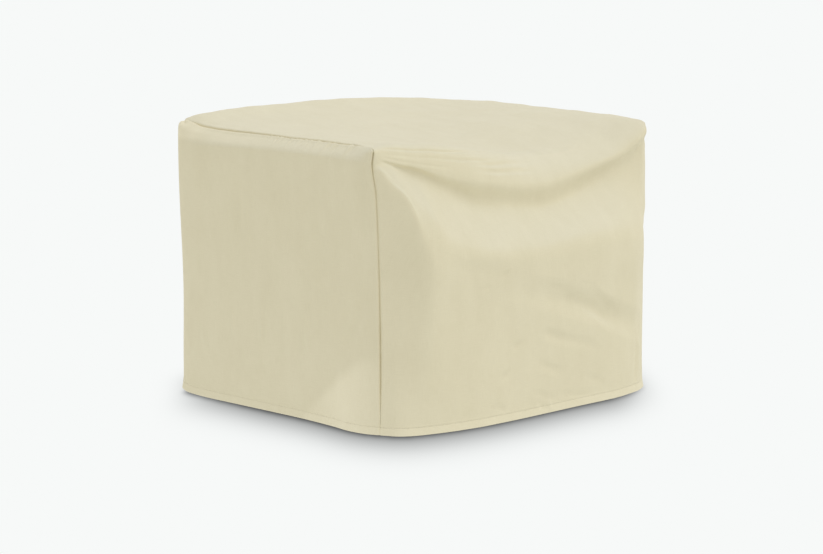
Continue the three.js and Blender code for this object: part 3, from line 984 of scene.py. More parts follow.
@dataclass
class ClothMesh:
    """Turns a finished grid into a closed, thin mesh.

    Attributes:
        thickness: Thickness of one layer of cloth.
        hem: The hem along the grid's first row, and its last row where both ends are hemmed.
        hemmed_rows: Whether the first and the last row are hems.
        upward: Part of a normal along Z from which cloth counts as facing up, and over which that sets in.
    """

    thickness: float
    hem: Hem
    hemmed_rows: tuple[bool, bool]
    upward: tuple[float, float] = (0.15, 0.7)

    def hem_height(self, grid: Grid) -> Array:
        """Height of each point over the nearest hem, measured along the cloth.

        Args:
            grid: The cloth's outside.

        Returns:
            The heights, infinite where no row is a hem.
        """
        rise = grid.rise
        heights = np.full(rise.shape, np.inf)
        if self.hemmed_rows[0]:
            heights = np.minimum(heights, rise)
        if self.hemmed_rows[1]:
            heights = np.minimum(heights, rise[-1:] - rise)
        return heights

    def layers(self, grid: Grid) -> tuple[Array, Array]:
        """The outside with its hem, and the inside.

        Args:
            grid: The cloth's outside without hem.

        Returns:
            Grids of points of the outside and the inside.
        """
        height = self.hem_height(grid)
        normals = grid.normals
        low = (height < self.hem.width)[..., None]
        flat = normals * np.array([1.0, 1.0, 0.0])
        ways = np.where(low, unit(flat), normals)
        lift = self.hem.relief(height, grid.run)
        depth = self.hem.thickness(height, self.thickness)
        outside = grid.points + ways * lift[..., None]
        inside = grid.points - ways * (depth - self.hem.rounding(height))[..., None]
        return outside, inside

    def build(self, name: str, grid: Grid, paled: Array) -> Piece:
        """Makes the closed mesh: outside, inside turned round, and a rim between them.

        Args:
            name: Name of the piece.
            grid: The cloth's outside without hem.
            paled: How much paler the cloth is painted at each point of the grid, as painted light and shade.

        Returns:
            The new object.
        """
        outside, inside = self.layers(grid)
        rows, columns = outside.shape[:2]
        count = rows * columns
        index = np.arange(count).reshape(rows, columns)
        quads = np.stack([index[:-1, :-1], index[:-1, 1:], index[1:, 1:], index[1:, :-1]], axis=-1)
        quads = quads.reshape(-1, 4)
        rim = np.concatenate([index[0], index[1:, -1], index[-1, -2::-1], index[-2:0:-1, 0]])
        following = np.roll(rim, -1)
        band = np.stack([rim, rim + count, following + count, following], axis=-1)
        faces = np.concatenate([quads, (quads + count)[:, ::-1], band])
        points = np.concatenate([outside.reshape(-1, 3), inside.reshape(-1, 3)]) * MM
        cut = np.stack([grid.run, grid.rise], axis=-1).reshape(-1, 2) * MM
        piece = new_mesh(name, points, faces, np.concatenate([cut, cut]))
        # Painted light tint: how far each point faces up.
        faded = ease((Grid(outside).normals[..., 2] - self.upward[0]) / self.upward[1])
        for label, share in ((UP_LIGHT_TINT, faded), (PAINTED_SHADING_ATTRIBUTE, paled)):
            values = np.concatenate([share.ravel(), np.zeros(count)]).astype(np.float32)
            piece.data.attributes.new(label, "FLOAT", "POINT").data.foreach_set("value", values)
        edges = np.stack([rim, following], axis=-1)
        mark_sharp(piece, np.concatenate([edges, edges + count]))
        return piece


def new_mesh(name: str, points: Array, faces: Array, cut: Array | None = None) -> Piece:
    """Puts points and quads into a new object at the origin.

    Args:
        name: Name of the piece.
        points: Its points, in metres.
        faces: Four point numbers for each face.
        cut: Where each point lies on the flat cloth, in metres, for the weave.

    Returns:
        The new object, smooth shaded.
    """
    mesh = bpy.data.meshes.new(name)
    mesh.vertices.add(len(points))
    mesh.vertices.foreach_set("co", points.astype(np.float32).ravel())
    mesh.loops.add(faces.size)
    mesh.loops.foreach_set("vertex_index", faces.astype(np.int32).ravel())
    mesh.polygons.add(len(faces))
    mesh.polygons.foreach_set("loop_start", np.arange(0, faces.size, faces.shape[1], dtype=np.int32))
    mesh.polygons.foreach_set("use_smooth", np.ones(len(faces), bool))
    mesh.update(calc_edges=True)
    if cut is not None:
        layer = mesh.uv_layers.new(name=CUT)
        layer.data.foreach_set("uv", cut[faces.ravel()].astype(np.float32).ravel())
    mesh.validate()
    piece = bpy.data.objects.new(name, mesh)
    bpy.context.scene.collection.objects.link(piece)
    return piece


def mark_sharp(piece: Piece, pairs: Array) -> None:
    """Marks edges as sharp, so that the shading breaks there.

    Args:
        piece: The object.
        pairs: The two point numbers of each edge.
    """
    mesh = piece.data
    ends = np.empty(len(mesh.edges) * 2, np.int32)
    mesh.edges.foreach_get("vertices", ends)
    size = len(mesh.vertices)
    keys = np.sort(ends.reshape(-1, 2), axis=1) @ np.array([size, 1])
    wanted = np.sort(pairs, axis=1) @ np.array([size, 1])
    sharp = mesh.attributes.get("sharp_edge") or mesh.attributes.new("sharp_edge", "BOOLEAN", "EDGE")
    sharp.data.foreach_set("value", np.isin(keys, wanted))


# The cloths


@dataclass
class LongCloth:
    """Cloth that runs up the front, over the top and down the back.

    Attributes:
        name: Name of the piece.
        node: Name of the solid that it stands for.
        lines: Its fold lines, from the front hem to the back hem.
        crease: Number of the line where the front turns into the top.
        rim: Number of the line where the top turns into the back.
        flat: Width and length of the cut; not used.
        width: Width over which the columns are spread.
        steps: First step between two columns at a seam, its growth and the widest step.
        front_rows: Rows from the front hem to the waist, but for those of the hem.
        spans: Rows in each stretch between two lines, from the front waist to the back waist.
        back_rows: Rows from the back waist to the hem, but for those of the hem.
    """

    name: str = "front_top_back_cloth"
    node: str = "front_top_back_panel"
    lines: tuple[Line, ...] = (
        FRONT_HEM, FRONT_WAIST, WALL_TOP, BREAK, VALLEY, LIP, CREASE, TOP_FRONT,
        TOP_MIDDLE, TOP_REAR, TOP_BACK, RIM, SHOULDER, BACK_CHEST, BACK_WAIST, BACK_HEM,
    )
    crease: int = 6
    rim: int = 11
    flat: tuple[float, float] = (0.99, 2.02)
    width: float = 937.0
    steps: Triple = (0.6, 1.25, 6.6)
    front_rows: int = 36
    spans: tuple[int, ...] = (15, 10, 24, 12, 26, 14, 18, 20, 14, 14, 10, 8, 10)
    back_rows: int = 16

    def surface(self, places: Array, fractions: Array) -> Array:
        """Points of the cloth: each column is a smooth curve through its point of every fold line."""
        return through(np.stack([across_x(line, fractions) for line in self.lines]), places)

    def edge(self, side: Side, places: Array) -> Array:
        """Points of the edge that is sewn to a side cloth."""
        return self.surface(places, np.array([0.0 if side is Side.LEFT else 1.0]))[:, 0]

    def places(self, hem: Hem) -> Array:
        """Places of the rows: close at the hems and in the sagging fold, wide on the plain walls.

        Args:
            hem: The hem, which sets the first and the last rows.

        Returns:
            Rising places; 0 is the first fold line, 1 the second and so on.
        """
        low = hem.stop_heights() / WAIST_Z
        wall = np.concatenate([low, np.linspace(low[-1], 1, self.front_rows, endpoint=False)[1:]])
        last = 1 - hem.stop_heights()[::-1] / BACK_WAIST_Z
        back_wall = np.concatenate([np.linspace(0, last[0], self.back_rows, endpoint=False), last[:-1]])
        return stops(wall, *(even(count) for count in self.spans), back_wall)

    def fractions(self) -> Array:
        """Fractions of the width at which the columns lie: close at both seams."""
        half = from_edge(*self.steps, self.width / 2) / self.width
        return np.concatenate([half, 1 - half[-2::-1]])


@dataclass
class SideCloth:
    """Cloth that closes one side, sewn along its front, top and back edges to the long cloth.

    Attributes:
        side: Which side it closes.
        lines: Its fold lines, from the hem up, each from the front corner to the back corner.
        spans: Rows in each stretch between two lines, above the hem.
        flat: Width and height of the cut; not used.
        front_reach: Length from the front corner over which the cloth eases into its front edge.
        back_reach: The same at the back corner.
        top_reach: The same under the top seam, as a share of the last stretch of rows.
        gathered: From and to which length the top seam is gathered, so that the columns lie closer there.
            The default sets one column and stands for no gathers.
        steps: First step between two columns at a corner, its growth and the widest step.
        close_step: Step between two columns where the seam is gathered.
        top_steps: First step between rows at the top seam, as a share of the last stretch, and its growth.
    """

    side: Side
    lines: tuple[Line, ...]
    spans: tuple[int, ...]
    flat: tuple[float, float]
    front_reach: float = 200.0
    back_reach: float = 110.0
    top_reach: float = 1.0
    gathered: tuple[float, float] = (400.0, 402.2)
    steps: Triple = (0.6, 1.25, 5.5)
    close_step: float = 2.2
    top_steps: tuple[float, float] = (0.04, 1.3)

    @property
    def name(self) -> str:
        """Name of the piece."""
        return f"{self.side.value}_side_cloth"

    @property
    def node(self) -> str:
        """Name of the solid that the piece stands for."""
        return f"{self.side.value}_side_panel"

    def places(self, hem: Hem) -> Array:
        """Places of the rows, from the hem to the top seam, close at both.

        Args:
            hem: The hem, which sets the lowest rows.

        Returns:
            Rising places; 0 is the first fold line, 1 the second and so on.
        """
        low = hem.stop_heights() / WAIST_Z
        wall = np.concatenate([low, np.linspace(low[-1], 1, self.spans[0], endpoint=False)[1:]])
        last = 1 - from_edge(*self.top_steps, 1 / self.spans[-1], 1.0)[:0:-1]
        middle = [even(count) for count in self.spans[1:-1]]
        return stops(wall, *middle, last)

    def fractions(self, length: float) -> Array:
        """Where the columns lie: close at both corners and where the seam is gathered.

        Args:
            length: Length of the top seam.

        Returns:
            Rising fractions of that length.
        """
        half = from_edge(*self.steps, length / 2) / length
        places = np.concatenate([half, 1 - half[-2::-1]])
        near, far = (reach / length for reach in self.gathered)
        fine = np.linspace(near, far, int((self.gathered[1] - self.gathered[0]) / self.close_step) + 1)
        return np.concatenate([places[places < near - CLOSEST], fine, places[places > far + CLOSEST]])

    def border(self, long: LongCloth, heights: Array, first: int, last: int) -> tuple[Array, Array]:
        """Points of an upright edge at given heights, and their places along the long cloth.

        Args:
            long: The cloth that this one is sewn to.
            heights: Heights of this cloth's rows at that edge.
            first: Number of the long cloth's line at the hem.
            last: Number of its line at the top corner.

        Returns:
            The points and their places.
        """
        places = np.linspace(first, last, EDGE_POINTS)
        edge = long.edge(self.side, places)
        found = np.interp(heights, edge[:, 2], places)
        return long.edge(self.side, found), found

    def surface(self, long: LongCloth, hem: Hem) -> tuple[Array, dict[str, Array]]:
        """Grid of the cloth from its front corner to its back corner, its edges on those of the long cloth.

        The fold lines are lofted, and the inside of the grid is then moved so that its edges lie on the
        seam. The move eases out from each edge.

        Args:
            long: The cloth that this one is sewn to.
            hem: The hem, which sets the lowest rows.

        Returns:
            The points, and the seam's places along the front edge, the top and the back edge.
        """
        fine = np.linspace(long.crease, long.rim, SEAM_POINTS)
        top_length = reached(long.edge(self.side, fine))
        fractions = self.fractions(top_length[-1])
        top_places = np.interp(fractions * top_length[-1], top_length, fine)
        top = long.edge(self.side, top_places)
        placed = np.stack([along_length(line, fractions) for line in self.lines] + [top])
        rows = self.places(hem)
        grid = through(placed, rows)
        front, front_places = self.border(long, grid[:, 0, 2], 0, long.crease)
        back, back_places = self.border(long, grid[:, -1, 2], len(long.lines) - 1, long.rim)
        run = fractions * top_length[-1]
        near_front = (1 - ease(run / self.front_reach))[None, :, None]
        near_back = (1 - ease((run[-1] - run) / self.back_reach))[None, :, None]
        grid = grid + (front - grid[:, 0])[:, None] * near_front + (back - grid[:, -1])[:, None] * near_back
        near_top = (1 - ease((len(self.lines) - rows) / self.top_reach))[:, None, None]
        grid = grid + (top - grid[-1])[None] * near_top
        return grid, {"front": front_places, "top": top_places, "back": back_places}


@dataclass
class Stitches:
    """Row or rows of thread stitches that hold a hem.

    Attributes:
        lines: Points of each row, on the cloth.
        normals: The cloth's unit normals at these points.
        pitch: Distance from one stitch to the next.
        length: Length of a stitch that shows.
        radius: Radius of the thread.
        proud: How high the middle of the thread lies over the cloth.
        bow: How much lower its ends lie.
        beside: How far before and after a stitch's middle the hem is looked at for its way.
        rings: Its rings. Columns: place along half the stitch, and share of the radius.
        sides: Points in a ring.
    """

    lines: list[Array]
    normals: list[Array]
    pitch: float = 6.4
    length: float = 5.0
    radius: float = 0.42
    proud: float = 0.12
    bow: float = 0.45
    beside: float = 2.0
    rings: Line = ((-1, 0.35), (-0.88, 0.8), (-0.5, 1), (0.5, 1), (0.88, 0.8), (1, 0.35))
    sides: int = 6

    def build(self, name: str) -> Piece:
        """Makes all stitches as one mesh: each is a row of rings, thin at both ends, and closed there.

        A ring's point is the stitch's middle, plus its place along the stitch, plus the radius times a
        point of the unit circle. The thread lies lower towards its ends, by the bow times the fourth power
        of the place.

        Args:
            name: Name of the piece.

        Returns:
            The new object.
        """
        along, wide = np.array(self.rings, float).T
        turn = np.arange(self.sides) * 2 * math.pi / self.sides
        centres, ways, ups = [], [], []
        for line, normals in zip(self.lines, self.normals):
            length = reached(line)
            at = np.arange(self.pitch / 2, length[-1] - self.pitch / 2, self.pitch)
            centre, before, after, up = (
                np.stack([np.interp(at + step, length, rows[:, k]) for k in range(3)], axis=-1)
                for step, rows in ((0, line), (-self.beside, line), (self.beside, line), (0, normals))
            )
            centres.append(centre)
            ways.append(unit(after - before))
            ups.append(unit(up))
        centre, way, up = (np.concatenate(rows)[:, None, None] for rows in (centres, ways, ups))
        across = np.cross(way, up)
        place = (along * self.length / 2)[:, None]
        rise = (self.proud - self.bow * along**4)[:, None]
        circle = across * np.cos(turn)[:, None] + up * np.sin(turn)[:, None]
        points = centre + way * place[..., None] + up * rise[..., None]
        points = points + self.radius * wide[:, None, None] * circle

        count = along.size * self.sides
        index = np.arange(count).reshape(along.size, self.sides)
        side = np.roll(index, -1, axis=1)
        tube = np.stack([index[:-1], side[:-1], side[1:], index[1:]], axis=-1).reshape(-1, 4)
        first, last = index[0], index[-1]
        ends = np.array([first[[3, 2, 1, 0]], first[[5, 4, 3, 0]], last[[0, 1, 2, 3]], last[[0, 3, 4, 5]]])
        one = np.concatenate([tube[:, ::-1], ends[:, ::-1]])
        faces = (one[None] + count * np.arange(len(centre))[:, None, None]).reshape(-1, 4)
        cut = np.stack(np.broadcast_arrays(place, turn[None] * self.radius), axis=-1)
        cuts = np.broadcast_to(cut, (len(centre), *cut.shape)).reshape(-1, 2) * MM
        return new_mesh(name, points.reshape(-1, 3) * MM, faces, cuts)


@dataclass
class Cover:
    """The whole cover: lays the folds and seams on its three cloths and makes their meshes.

    Attributes:
        long: The long cloth.
        sides: The two side cloths.
        hem: The hem of all three.
        groove: The seams between them.
        folds: The folds that the cover shows.
        ripple: Its faint unevenness.
        calm: Height over the floor up to which the unevenness grows to its full size.
        painted_shading_shares: Where it is painted paler or darker, standing in for light and shade.
        shared_reach: Distance from a seam over which its two cloths come to be lifted the same way.
        thickness: Thickness of one layer of cloth.
        shift: What centres the cover on the solids' frame.
    """

    long: LongCloth
    sides: tuple[SideCloth, ...]
    hem: Hem = Hem()
    groove: SeamGroove = SeamGroove()
    folds: tuple[Fold | Gathers, ...] = FOLDS
    ripple: Ripple = Ripple()
    calm: float = 60.0
    painted_shading_shares: PaintedShadingShares = PaintedShadingShares()
    shared_reach: float = 30.0
    thickness: float = 2.0
    shift: Triple = (0.0, 0.0, 0.0)

    def ways(self, normals: Array, distances: Array, shared: Array) -> Array:
        """Ways out in which a cloth is lifted: its normals, and near a seam the way its two cloths share.

        Args:
            normals: Unit normals of the cloth.
            distances: For each seam the distance of every point to it.
            shared: For each seam the shared way in, at every point.

        Returns:
            Unit ways out.
        """
        near = ease(1 - distances / self.shared_reach)[..., None]
        own = np.clip(1 - near.sum(axis=0), 0.0, None)
        return unit(normals * own - (shared * near).sum(axis=0))

    def creased(self, points: Array, normals: Array, ways: Array) -> Array:
        """Lays the folds and the unevenness on a grid.

        Args:
            points: Grid of a cloth's outside.
            normals: Its unit normals.
            ways: The ways in which it is lifted.

        Returns:
            The grid with its folds.
        """
        lift = sum(fold.height_at(points, normals) for fold in self.folds)
        lift = lift + self.ripple.height_at(points) * ease(points[..., 2] / self.calm)
        return points + ways * lift[..., None]

    def sewn_long(self, points: Array, places: Array, seams: dict[Side, Seam]) -> Array:
        """Lays the folds on the long cloth and turns it in along both of its seams.

        Args:
            points: Grid of the cloth.
            places: Places of its rows.
            seams: Its seam on each side.

        Returns:
            The grid with its folds, its edges turned in.
        """
        normals = Grid(points).normals
        run = reached(points, axis=1)
        distances = np.stack([run, run[:, -1:] - run])
        shared = np.stack([np.broadcast_to(seams[side].way(places)[:, None], points.shape) for side in Side])
        ways = self.ways(normals, distances, shared)
        moved = self.creased(points, normals, ways)
        pull = self.groove.pull(points)
        for distance, way in zip(distances, shared):
            moved += way * (pull * self.groove.sink(distance))[..., None]
            moved += ways * (pull * self.groove.swelling(distance))[..., None]
        return self.drawn_back(moved, (1, 1, 0))

    def sewn_side(self, points: Array, side: Side, where: dict[str, Array], seam: Seam) -> Array:
        """Lays the folds on a side cloth and turns it in along its front, top and back edges.

        Args:
            points: Grid of the cloth, from its front corner to its back corner.
            side: The side that it closes.
            where: The seam's places along each edge.
            seam: Its seam.

        Returns:
            The grid with its folds, its edges turned in.
        """
        normals = Grid(points).normals * side.turned
        run = reached(points, axis=1)
        rise = reached(points, axis=0)
        distances = np.stack([run, rise[-1:] - rise, run[:, -1:] - run])
        front, top, back = (seam.way(where[edge]) for edge in ("front", "top", "back"))
        shared = np.stack(np.broadcast_arrays(front[:, None], top[None], back[:, None]))
        ways = self.ways(normals, distances, shared)
        moved = self.creased(points, normals, ways)
        pull = self.groove.pull(points)
        sinks = self.groove.sink(distances)
        way = unit((shared * sinks[..., None]).sum(axis=0) + 1e-9)
        moved += way * (pull * sinks.max(axis=0))[..., None]
        moved += ways * (pull * self.groove.swelling(distances.min(axis=0)))[..., None]
        return self.drawn_back(moved, (1, 1, 1))

    def drawn_back(self, points: Array, edges: tuple[int, int, int]) -> Array:
        """Moves sewn edges back into their own cloth by half the gap.

        Args:
            points: Grid of the cloth.
            edges: Whether the first column, the last column and the last row are sewn.

        Returns:
            The grid with its edges moved.
        """
        back = points.copy()
        half = self.groove.gap / 2
        back[:, 0] += edges[0] * half * unit(points[:, 1] - points[:, 0])
        back[:, -1] += edges[1] * half * unit(points[:, -2] - points[:, -1])
        back[-1] += edges[2] * half * unit(points[-2] - points[-1])
        return back

    def seam(
        self, long: Array, places: Array, side: SideCloth, points: Array, where: dict[str, Array]
    ) -> Seam:
        """Finds the way in along a seam, midway between the normals of its two cloths.

        Args:
            long: Grid of the long cloth.
            places: Places of its rows.
            side: The side cloth.
            points: Grid of the side cloth, from its front corner to its back corner.
            where: The seam's places along each of its edges.

        Returns:
            The seam.
        """
        column = 0 if side.side is Side.LEFT else -1
        own = Grid(long).normals[:, column]
        other = Grid(points).normals * side.side.turned
        at = np.concatenate([where["front"], where["top"][1:-1], where["back"][::-1]])
        met = np.concatenate([other[:, 0], other[-1, 1:-1], other[::-1, -1]])
        met = np.stack([np.interp(places, at, met[:, k]) for k in range(3)], axis=-1)
        return Seam(places, -unit(own + met))

    def build(self) -> dict[str, tuple[Piece, Stitches]]:
        """Makes the three pieces.

        Returns:
            Each piece with the stitches of its hems, by name.
        """
        places = self.long.places(self.hem)
        long = self.long.surface(places, self.long.fractions())
        cut = [(side, *side.surface(self.long, self.hem)) for side in self.sides]
        seams = {side.side: self.seam(long, places, side, points, where) for side, points, where in cut}
        sewn = self.sewn_long(long, places, seams)
        made = {self.long.name: self.finish(self.long.name, sewn, (True, True))}
        for side, points, where in cut:
            sewn = self.sewn_side(points, side.side, where, seams[side.side])
            turned = sewn[:, ::-1] if side.side is Side.LEFT else sewn
            made[side.name] = self.finish(side.name, turned, (True, False))
        return made

    def finish(self, name: str, points: Array, hemmed: tuple[bool, bool]) -> tuple[Piece, Stitches]:
        """Makes the mesh of one cloth.

        Args:
            name: Name of the piece.
            points: Grid of its outside.
            hemmed: Whether its first and last rows are hems.

        Returns:
            The piece and the stitches of its hems.
        """
        grid = Grid(points + np.array(self.shift))
        mesh = ClothMesh(self.thickness, self.hem, hemmed)
        # Painted light and shade: the cloth's painted shares, and the hem's.
        shares = self.painted_shading_shares.left if name.startswith(Side.LEFT.value) else self.painted_shading_shares.others
        paled = np.clip(shares(points) + self.hem.paler(mesh.hem_height(grid)), 0.0, 1.0)
        piece = mesh.build(name, grid, paled)
        outside = mesh.layers(grid)[0]
        row = int(np.argmin(abs(self.hem.stop_heights() - self.hem.stitch_height)))
        normals = Grid(outside).normals
        rows = [k for k, there in zip((row, -1 - row), hemmed) if there]
        return piece, Stitches([outside[k] for k in rows], [normals[k] for k in rows])


# Finishes


class Nodes:
    """A new material, with short ways to build its node tree."""

    def __init__(self, name: str) -> None:
        """Makes the material and takes its tree.

        Args:
            name: Name of the material.
        """
        self.material = bpy.data.materials.new(name)
        self.material.use_nodes = True
        self.tree = self.material.node_tree
        self.shader = self.tree.nodes["Principled BSDF"]
        self.output = self.tree.nodes["Material Output"]

    def add(self, kind: str, **values: object) -> bpy.types.Node:
        """Adds a node and sets its inputs.

        Args:
            kind: The node's type.
            values: Values of its inputs by name, with _ for a space.

        Returns:
            The new node.
        """
        node = self.tree.nodes.new(kind)
        for name, value in values.items():
            node.inputs[name.replace("_", " ")].default_value = value
        return node

    def link(self, start: Socket, end: Socket) -> None:
        """Links an output to an input."""
        self.tree.links.new(start, end)

    def feed(self, value: Socket | float, end: Socket) -> None:
        """Links an output to an input, or sets the input to a number.

        Args:
            value: The output or the number.
            end: The input.
        """
        if isinstance(value, Socket):
            self.link(value, end)
        else:
            end.default_value = value

    def math(self, operation: str, *values: Socket | float) -> Socket:
        """Does one step of arithmetic.

        Args:
            operation: Name of the step.
            values: What it works on.

        Returns:
            Its result.
        """
        node = self.tree.nodes.new("ShaderNodeMath")
        node.operation = operation
        for value, end in zip(values, node.inputs):
            self.feed(value, end)
        return node.outputs["Value"]

    def mix_value(self, share: Socket, low: Socket | float, high: Socket | float) -> Socket:
        """Goes from one number to another by a share.

        Args:
            share: The share of the second number.
            low: The first number.
            high: The second number.

        Returns:
            The mixed number.
        """
        first = self.math("MULTIPLY", self.math("SUBTRACT", 1.0, share), low)
        return self.math("ADD", first, self.math("MULTIPLY", share, high))

    def mix_colour(self, share: Socket, low: Colour | Socket, high: Colour, blend: str = "MIX") -> Socket:
        """Goes from one colour to another by a share.

        Args:
            share: The share of the second colour.
            low: The first colour, or the output that gives it.
            high: The second colour.
            blend: How the second is laid on the first.

        Returns:
            The mixed colour.
        """
        node = self.tree.nodes.new("ShaderNodeMix")
        node.data_type = "RGBA"
        node.blend_type = blend
        self.link(share, node.inputs["Factor"])
        if isinstance(low, Socket):
            self.link(low, node.inputs[6])
        else:
            node.inputs[6].default_value = (*low, 1.0)
        node.inputs[7].default_value = (*high, 1.0)
        return node.outputs[2]

    def noise(self, place: Socket, scale: float, detail: float = 2.0) -> Socket:
        """Cloudy values about 0.5 that follow a place.

        Args:
            place: The place.
            scale: Clouds in a metre.
            detail: How many finer clouds are added.

        Returns:
            The values.
        """
        node = self.add("ShaderNodeTexNoise", Scale=scale, Detail=detail)
        self.link(place, node.inputs["Vector"])
        return node.outputs["Fac"]

    def stretched(self, place: Socket, scale: Triple) -> Socket:
        """A place multiplied by a number along each axis.

        Args:
            place: The place.
            scale: The three numbers.

        Returns:
            The stretched place.
        """
        node = self.tree.nodes.new("ShaderNodeMapping")
        node.inputs["Scale"].default_value = scale
        self.link(place, node.inputs["Vector"])
        return node.outputs["Vector"]

    def ramp(self, value: Socket, low: float, high: float, out: tuple[float, float]) -> Socket:
        """Maps values between two limits to another range, held outside of it.

        Args:
            value: The values.
            low: The lower limit.
            high: The upper limit.
            out: What the two limits become.

        Returns:
            The mapped values.
        """
        node = self.add("ShaderNodeMapRange", From_Min=low, From_Max=high, To_Min=out[0], To_Max=out[1])
        self.link(value, node.inputs["Value"])
        return node.outputs["Result"]

    def attribute(self, name: str) -> Socket:
        """Reads a mesh attribute.

        Args:
            name: Name of the attribute.

        Returns:
            Its values.
        """
        node = self.tree.nodes.new("ShaderNodeAttribute")
        node.attribute_name = name
        return node.outputs["Fac"]

    def cut(self) -> Socket:
        """Reads the UV map of the cut.

        Returns:
            The place on the flat cloth, in metres.
        """
        node = self.tree.nodes.new("ShaderNodeUVMap")
        node.uv_map = CUT
        return node.outputs["UV"]

    def split(self, place: Socket) -> tuple[Socket, Socket]:
        """Takes a place apart.

        Args:
            place: The place.

        Returns:
            Its first and its second part.
        """
        node = self.tree.nodes.new("ShaderNodeSeparateXYZ")
        self.link(place, node.inputs["Vector"])
        return node.outputs["X"], node.outputs["Y"]

    def bump(self, height: Socket, strength: float, distance: float) -> None:
        """Gives the surface a relief.

        Args:
            height: The relief's height, from 0 to 1.
            strength: How strongly it shows.
            distance: What a height of 1 stands for, in metres.
        """
        node = self.add("ShaderNodeBump", Strength=strength, Distance=distance)
        self.link(height, node.inputs["Height"])
        self.link(node.outputs["Normal"], self.shader.inputs["Normal"])


@dataclass(frozen=True)
class Weave:
    """Finish of the cover: a coated, plain woven polyester, matt, with painted light: a cooler tint where it
    faces up, and paler painted places.

    Attributes:
        name: Name of the material.
        wall: Colour of the cloth on the walls, linear.
        top: Painted light: colour where the cloth faces up, standing in for the cooler light on the top.
        pale: Colour of the painted light, its palest parts.
        shadow: Colour between the threads, laid on by multiplying.
        streak: Colour of the darkest soft streaks, laid on the same way.
        roughness: Roughness of the coating on a thread and between the threads.
        pitch: Distance between two threads, in metres.
        relief: Height of a thread over the gaps, in metres.
        slub_width: Width of a thick place in a thread, as a share of its length.
        slub_scale: Thick places in a metre across the thread.
        uneven: Share of a thread's height by which a thick place is higher.
        streak_width: The same for the soft streaks that run down the cloth.
        streak_scale: Streaks in a metre.
        cloud_scale: Clouds in a metre.
        bump: How strongly the threads' relief shows.
        shine: Strength of the coating's mirror light.
        sheen: Strength and roughness of its sheen at a flat angle.
    """

    name: str = "cover_weave"
    wall: Colour = (0.7624, 0.703, 0.5054)
    top: Colour = (0.7394, 0.6996, 0.5387)
    pale: Colour = (0.89, 0.826, 0.618)
    shadow: Colour = (0.9, 0.885, 0.85)
    streak: Colour = (0.965, 0.96, 0.945)
    roughness: tuple[float, float] = (0.66, 0.8)
    pitch: float = 0.0006
    relief: float = 0.00007
    slub_width: float = 0.04
    slub_scale: float = 900.0
    uneven: float = 0.15
    streak_width: float = 0.16
    streak_scale: float = 34.0
    cloud_scale: float = 9.0
    bump: float = 0.6
    shine: float = 0.25
    sheen: tuple[float, float] = (0.06, 0.5)

    def threads(self, nodes: Nodes, cut: Socket) -> tuple[Socket, Socket]:
        """Plain weave: every crossing is a small cushion, and every second one shows the warp.

        The height is the square root of |sin(pi u / pitch) sin(pi v / pitch)|, and the sign of the product
        tells warp from weft.

        Args:
            nodes: The material's nodes.
            cut: Place on the flat cloth, in metres.

        Returns:
            The height, from 0 to 1, and the share of warp, from 0 to 1.
        """
        turns = (nodes.math("MULTIPLY", way, math.pi / self.pitch) for way in nodes.split(cut))
        product = nodes.math("MULTIPLY", *(nodes.math("SINE", turn) for turn in turns))
        height = nodes.math("SQRT", nodes.math("ABSOLUTE", product))
        return height, nodes.math("ADD", nodes.math("MULTIPLY", product, 0.5), 0.5)

    def build(self) -> bpy.types.Material:
        """Makes the material from nodes.

        The colour goes from the wall's to the top's, a painted light tint where the cloth faces up, and then
        to the palest one, painted light and shade, by the shares that the mesh carries. The gaps between the
        threads, the streaks, the clouds, the weft and the thick places are laid on by multiplying, each by
        its own share.

        Returns:
            The new material.
        """
        nodes = Nodes(self.name)
        cut = nodes.cut()
        place = nodes.add("ShaderNodeTexCoord").outputs["Object"]
        height, warp = self.threads(nodes, cut)
        slubs = nodes.noise(nodes.stretched(cut, (1.0, self.slub_width, 1.0)), self.slub_scale)
        picks = nodes.noise(nodes.stretched(cut, (self.slub_width, 1.0, 1.0)), self.slub_scale)
        streaks = nodes.noise(nodes.stretched(cut, (1.0, self.streak_width, 1.0)), self.streak_scale, 3.0)
        clouds = nodes.noise(place, self.cloud_scale, 3.0)

        # Painted light: a cooler tint where the cloth faces up, then the painted light and shade shares.
        colour = nodes.mix_colour(nodes.attribute(UP_LIGHT_TINT), self.wall, self.top)
        colour = nodes.mix_colour(nodes.attribute(PAINTED_SHADING_ATTRIBUTE), colour, self.pale)
        for values, low, high, shares, tint in (
            (height, 0.0, 0.75, (0.55, 0.0), self.shadow),
            (streaks, 0.35, 0.7, (0.0, 0.38), self.streak),
            (clouds, 0.35, 0.7, (0.0, 0.6), self.streak),
            (warp, 0.3, 0.7, (0.35, 0.0), self.streak),
            (slubs, 0.35, 0.7, (0.0, 0.8), self.streak),
            (picks, 0.35, 0.7, (0.0, 0.8), self.streak),
        ):
            colour = nodes.mix_colour(nodes.ramp(values, low, high, shares), colour, tint, "MULTIPLY")
        nodes.link(colour, nodes.shader.inputs["Base Color"])
        nodes.link(nodes.ramp(height, 0.0, 1.0, self.roughness[::-1]), nodes.shader.inputs["Roughness"])

        thick = (nodes.ramp(values, 0.3, 0.7, (-self.uneven, self.uneven)) for values in (slubs, picks))
        nodes.bump(nodes.math("ADD", height, nodes.math("ADD", *thick)), self.bump, self.relief)
        nodes.shader.inputs["Specular IOR Level"].default_value = self.shine
        nodes.shader.inputs["Sheen Weight"].default_value = self.sheen[0]
        nodes.shader.inputs["Sheen Roughness"].default_value = self.sheen[1]
        return nodes.material


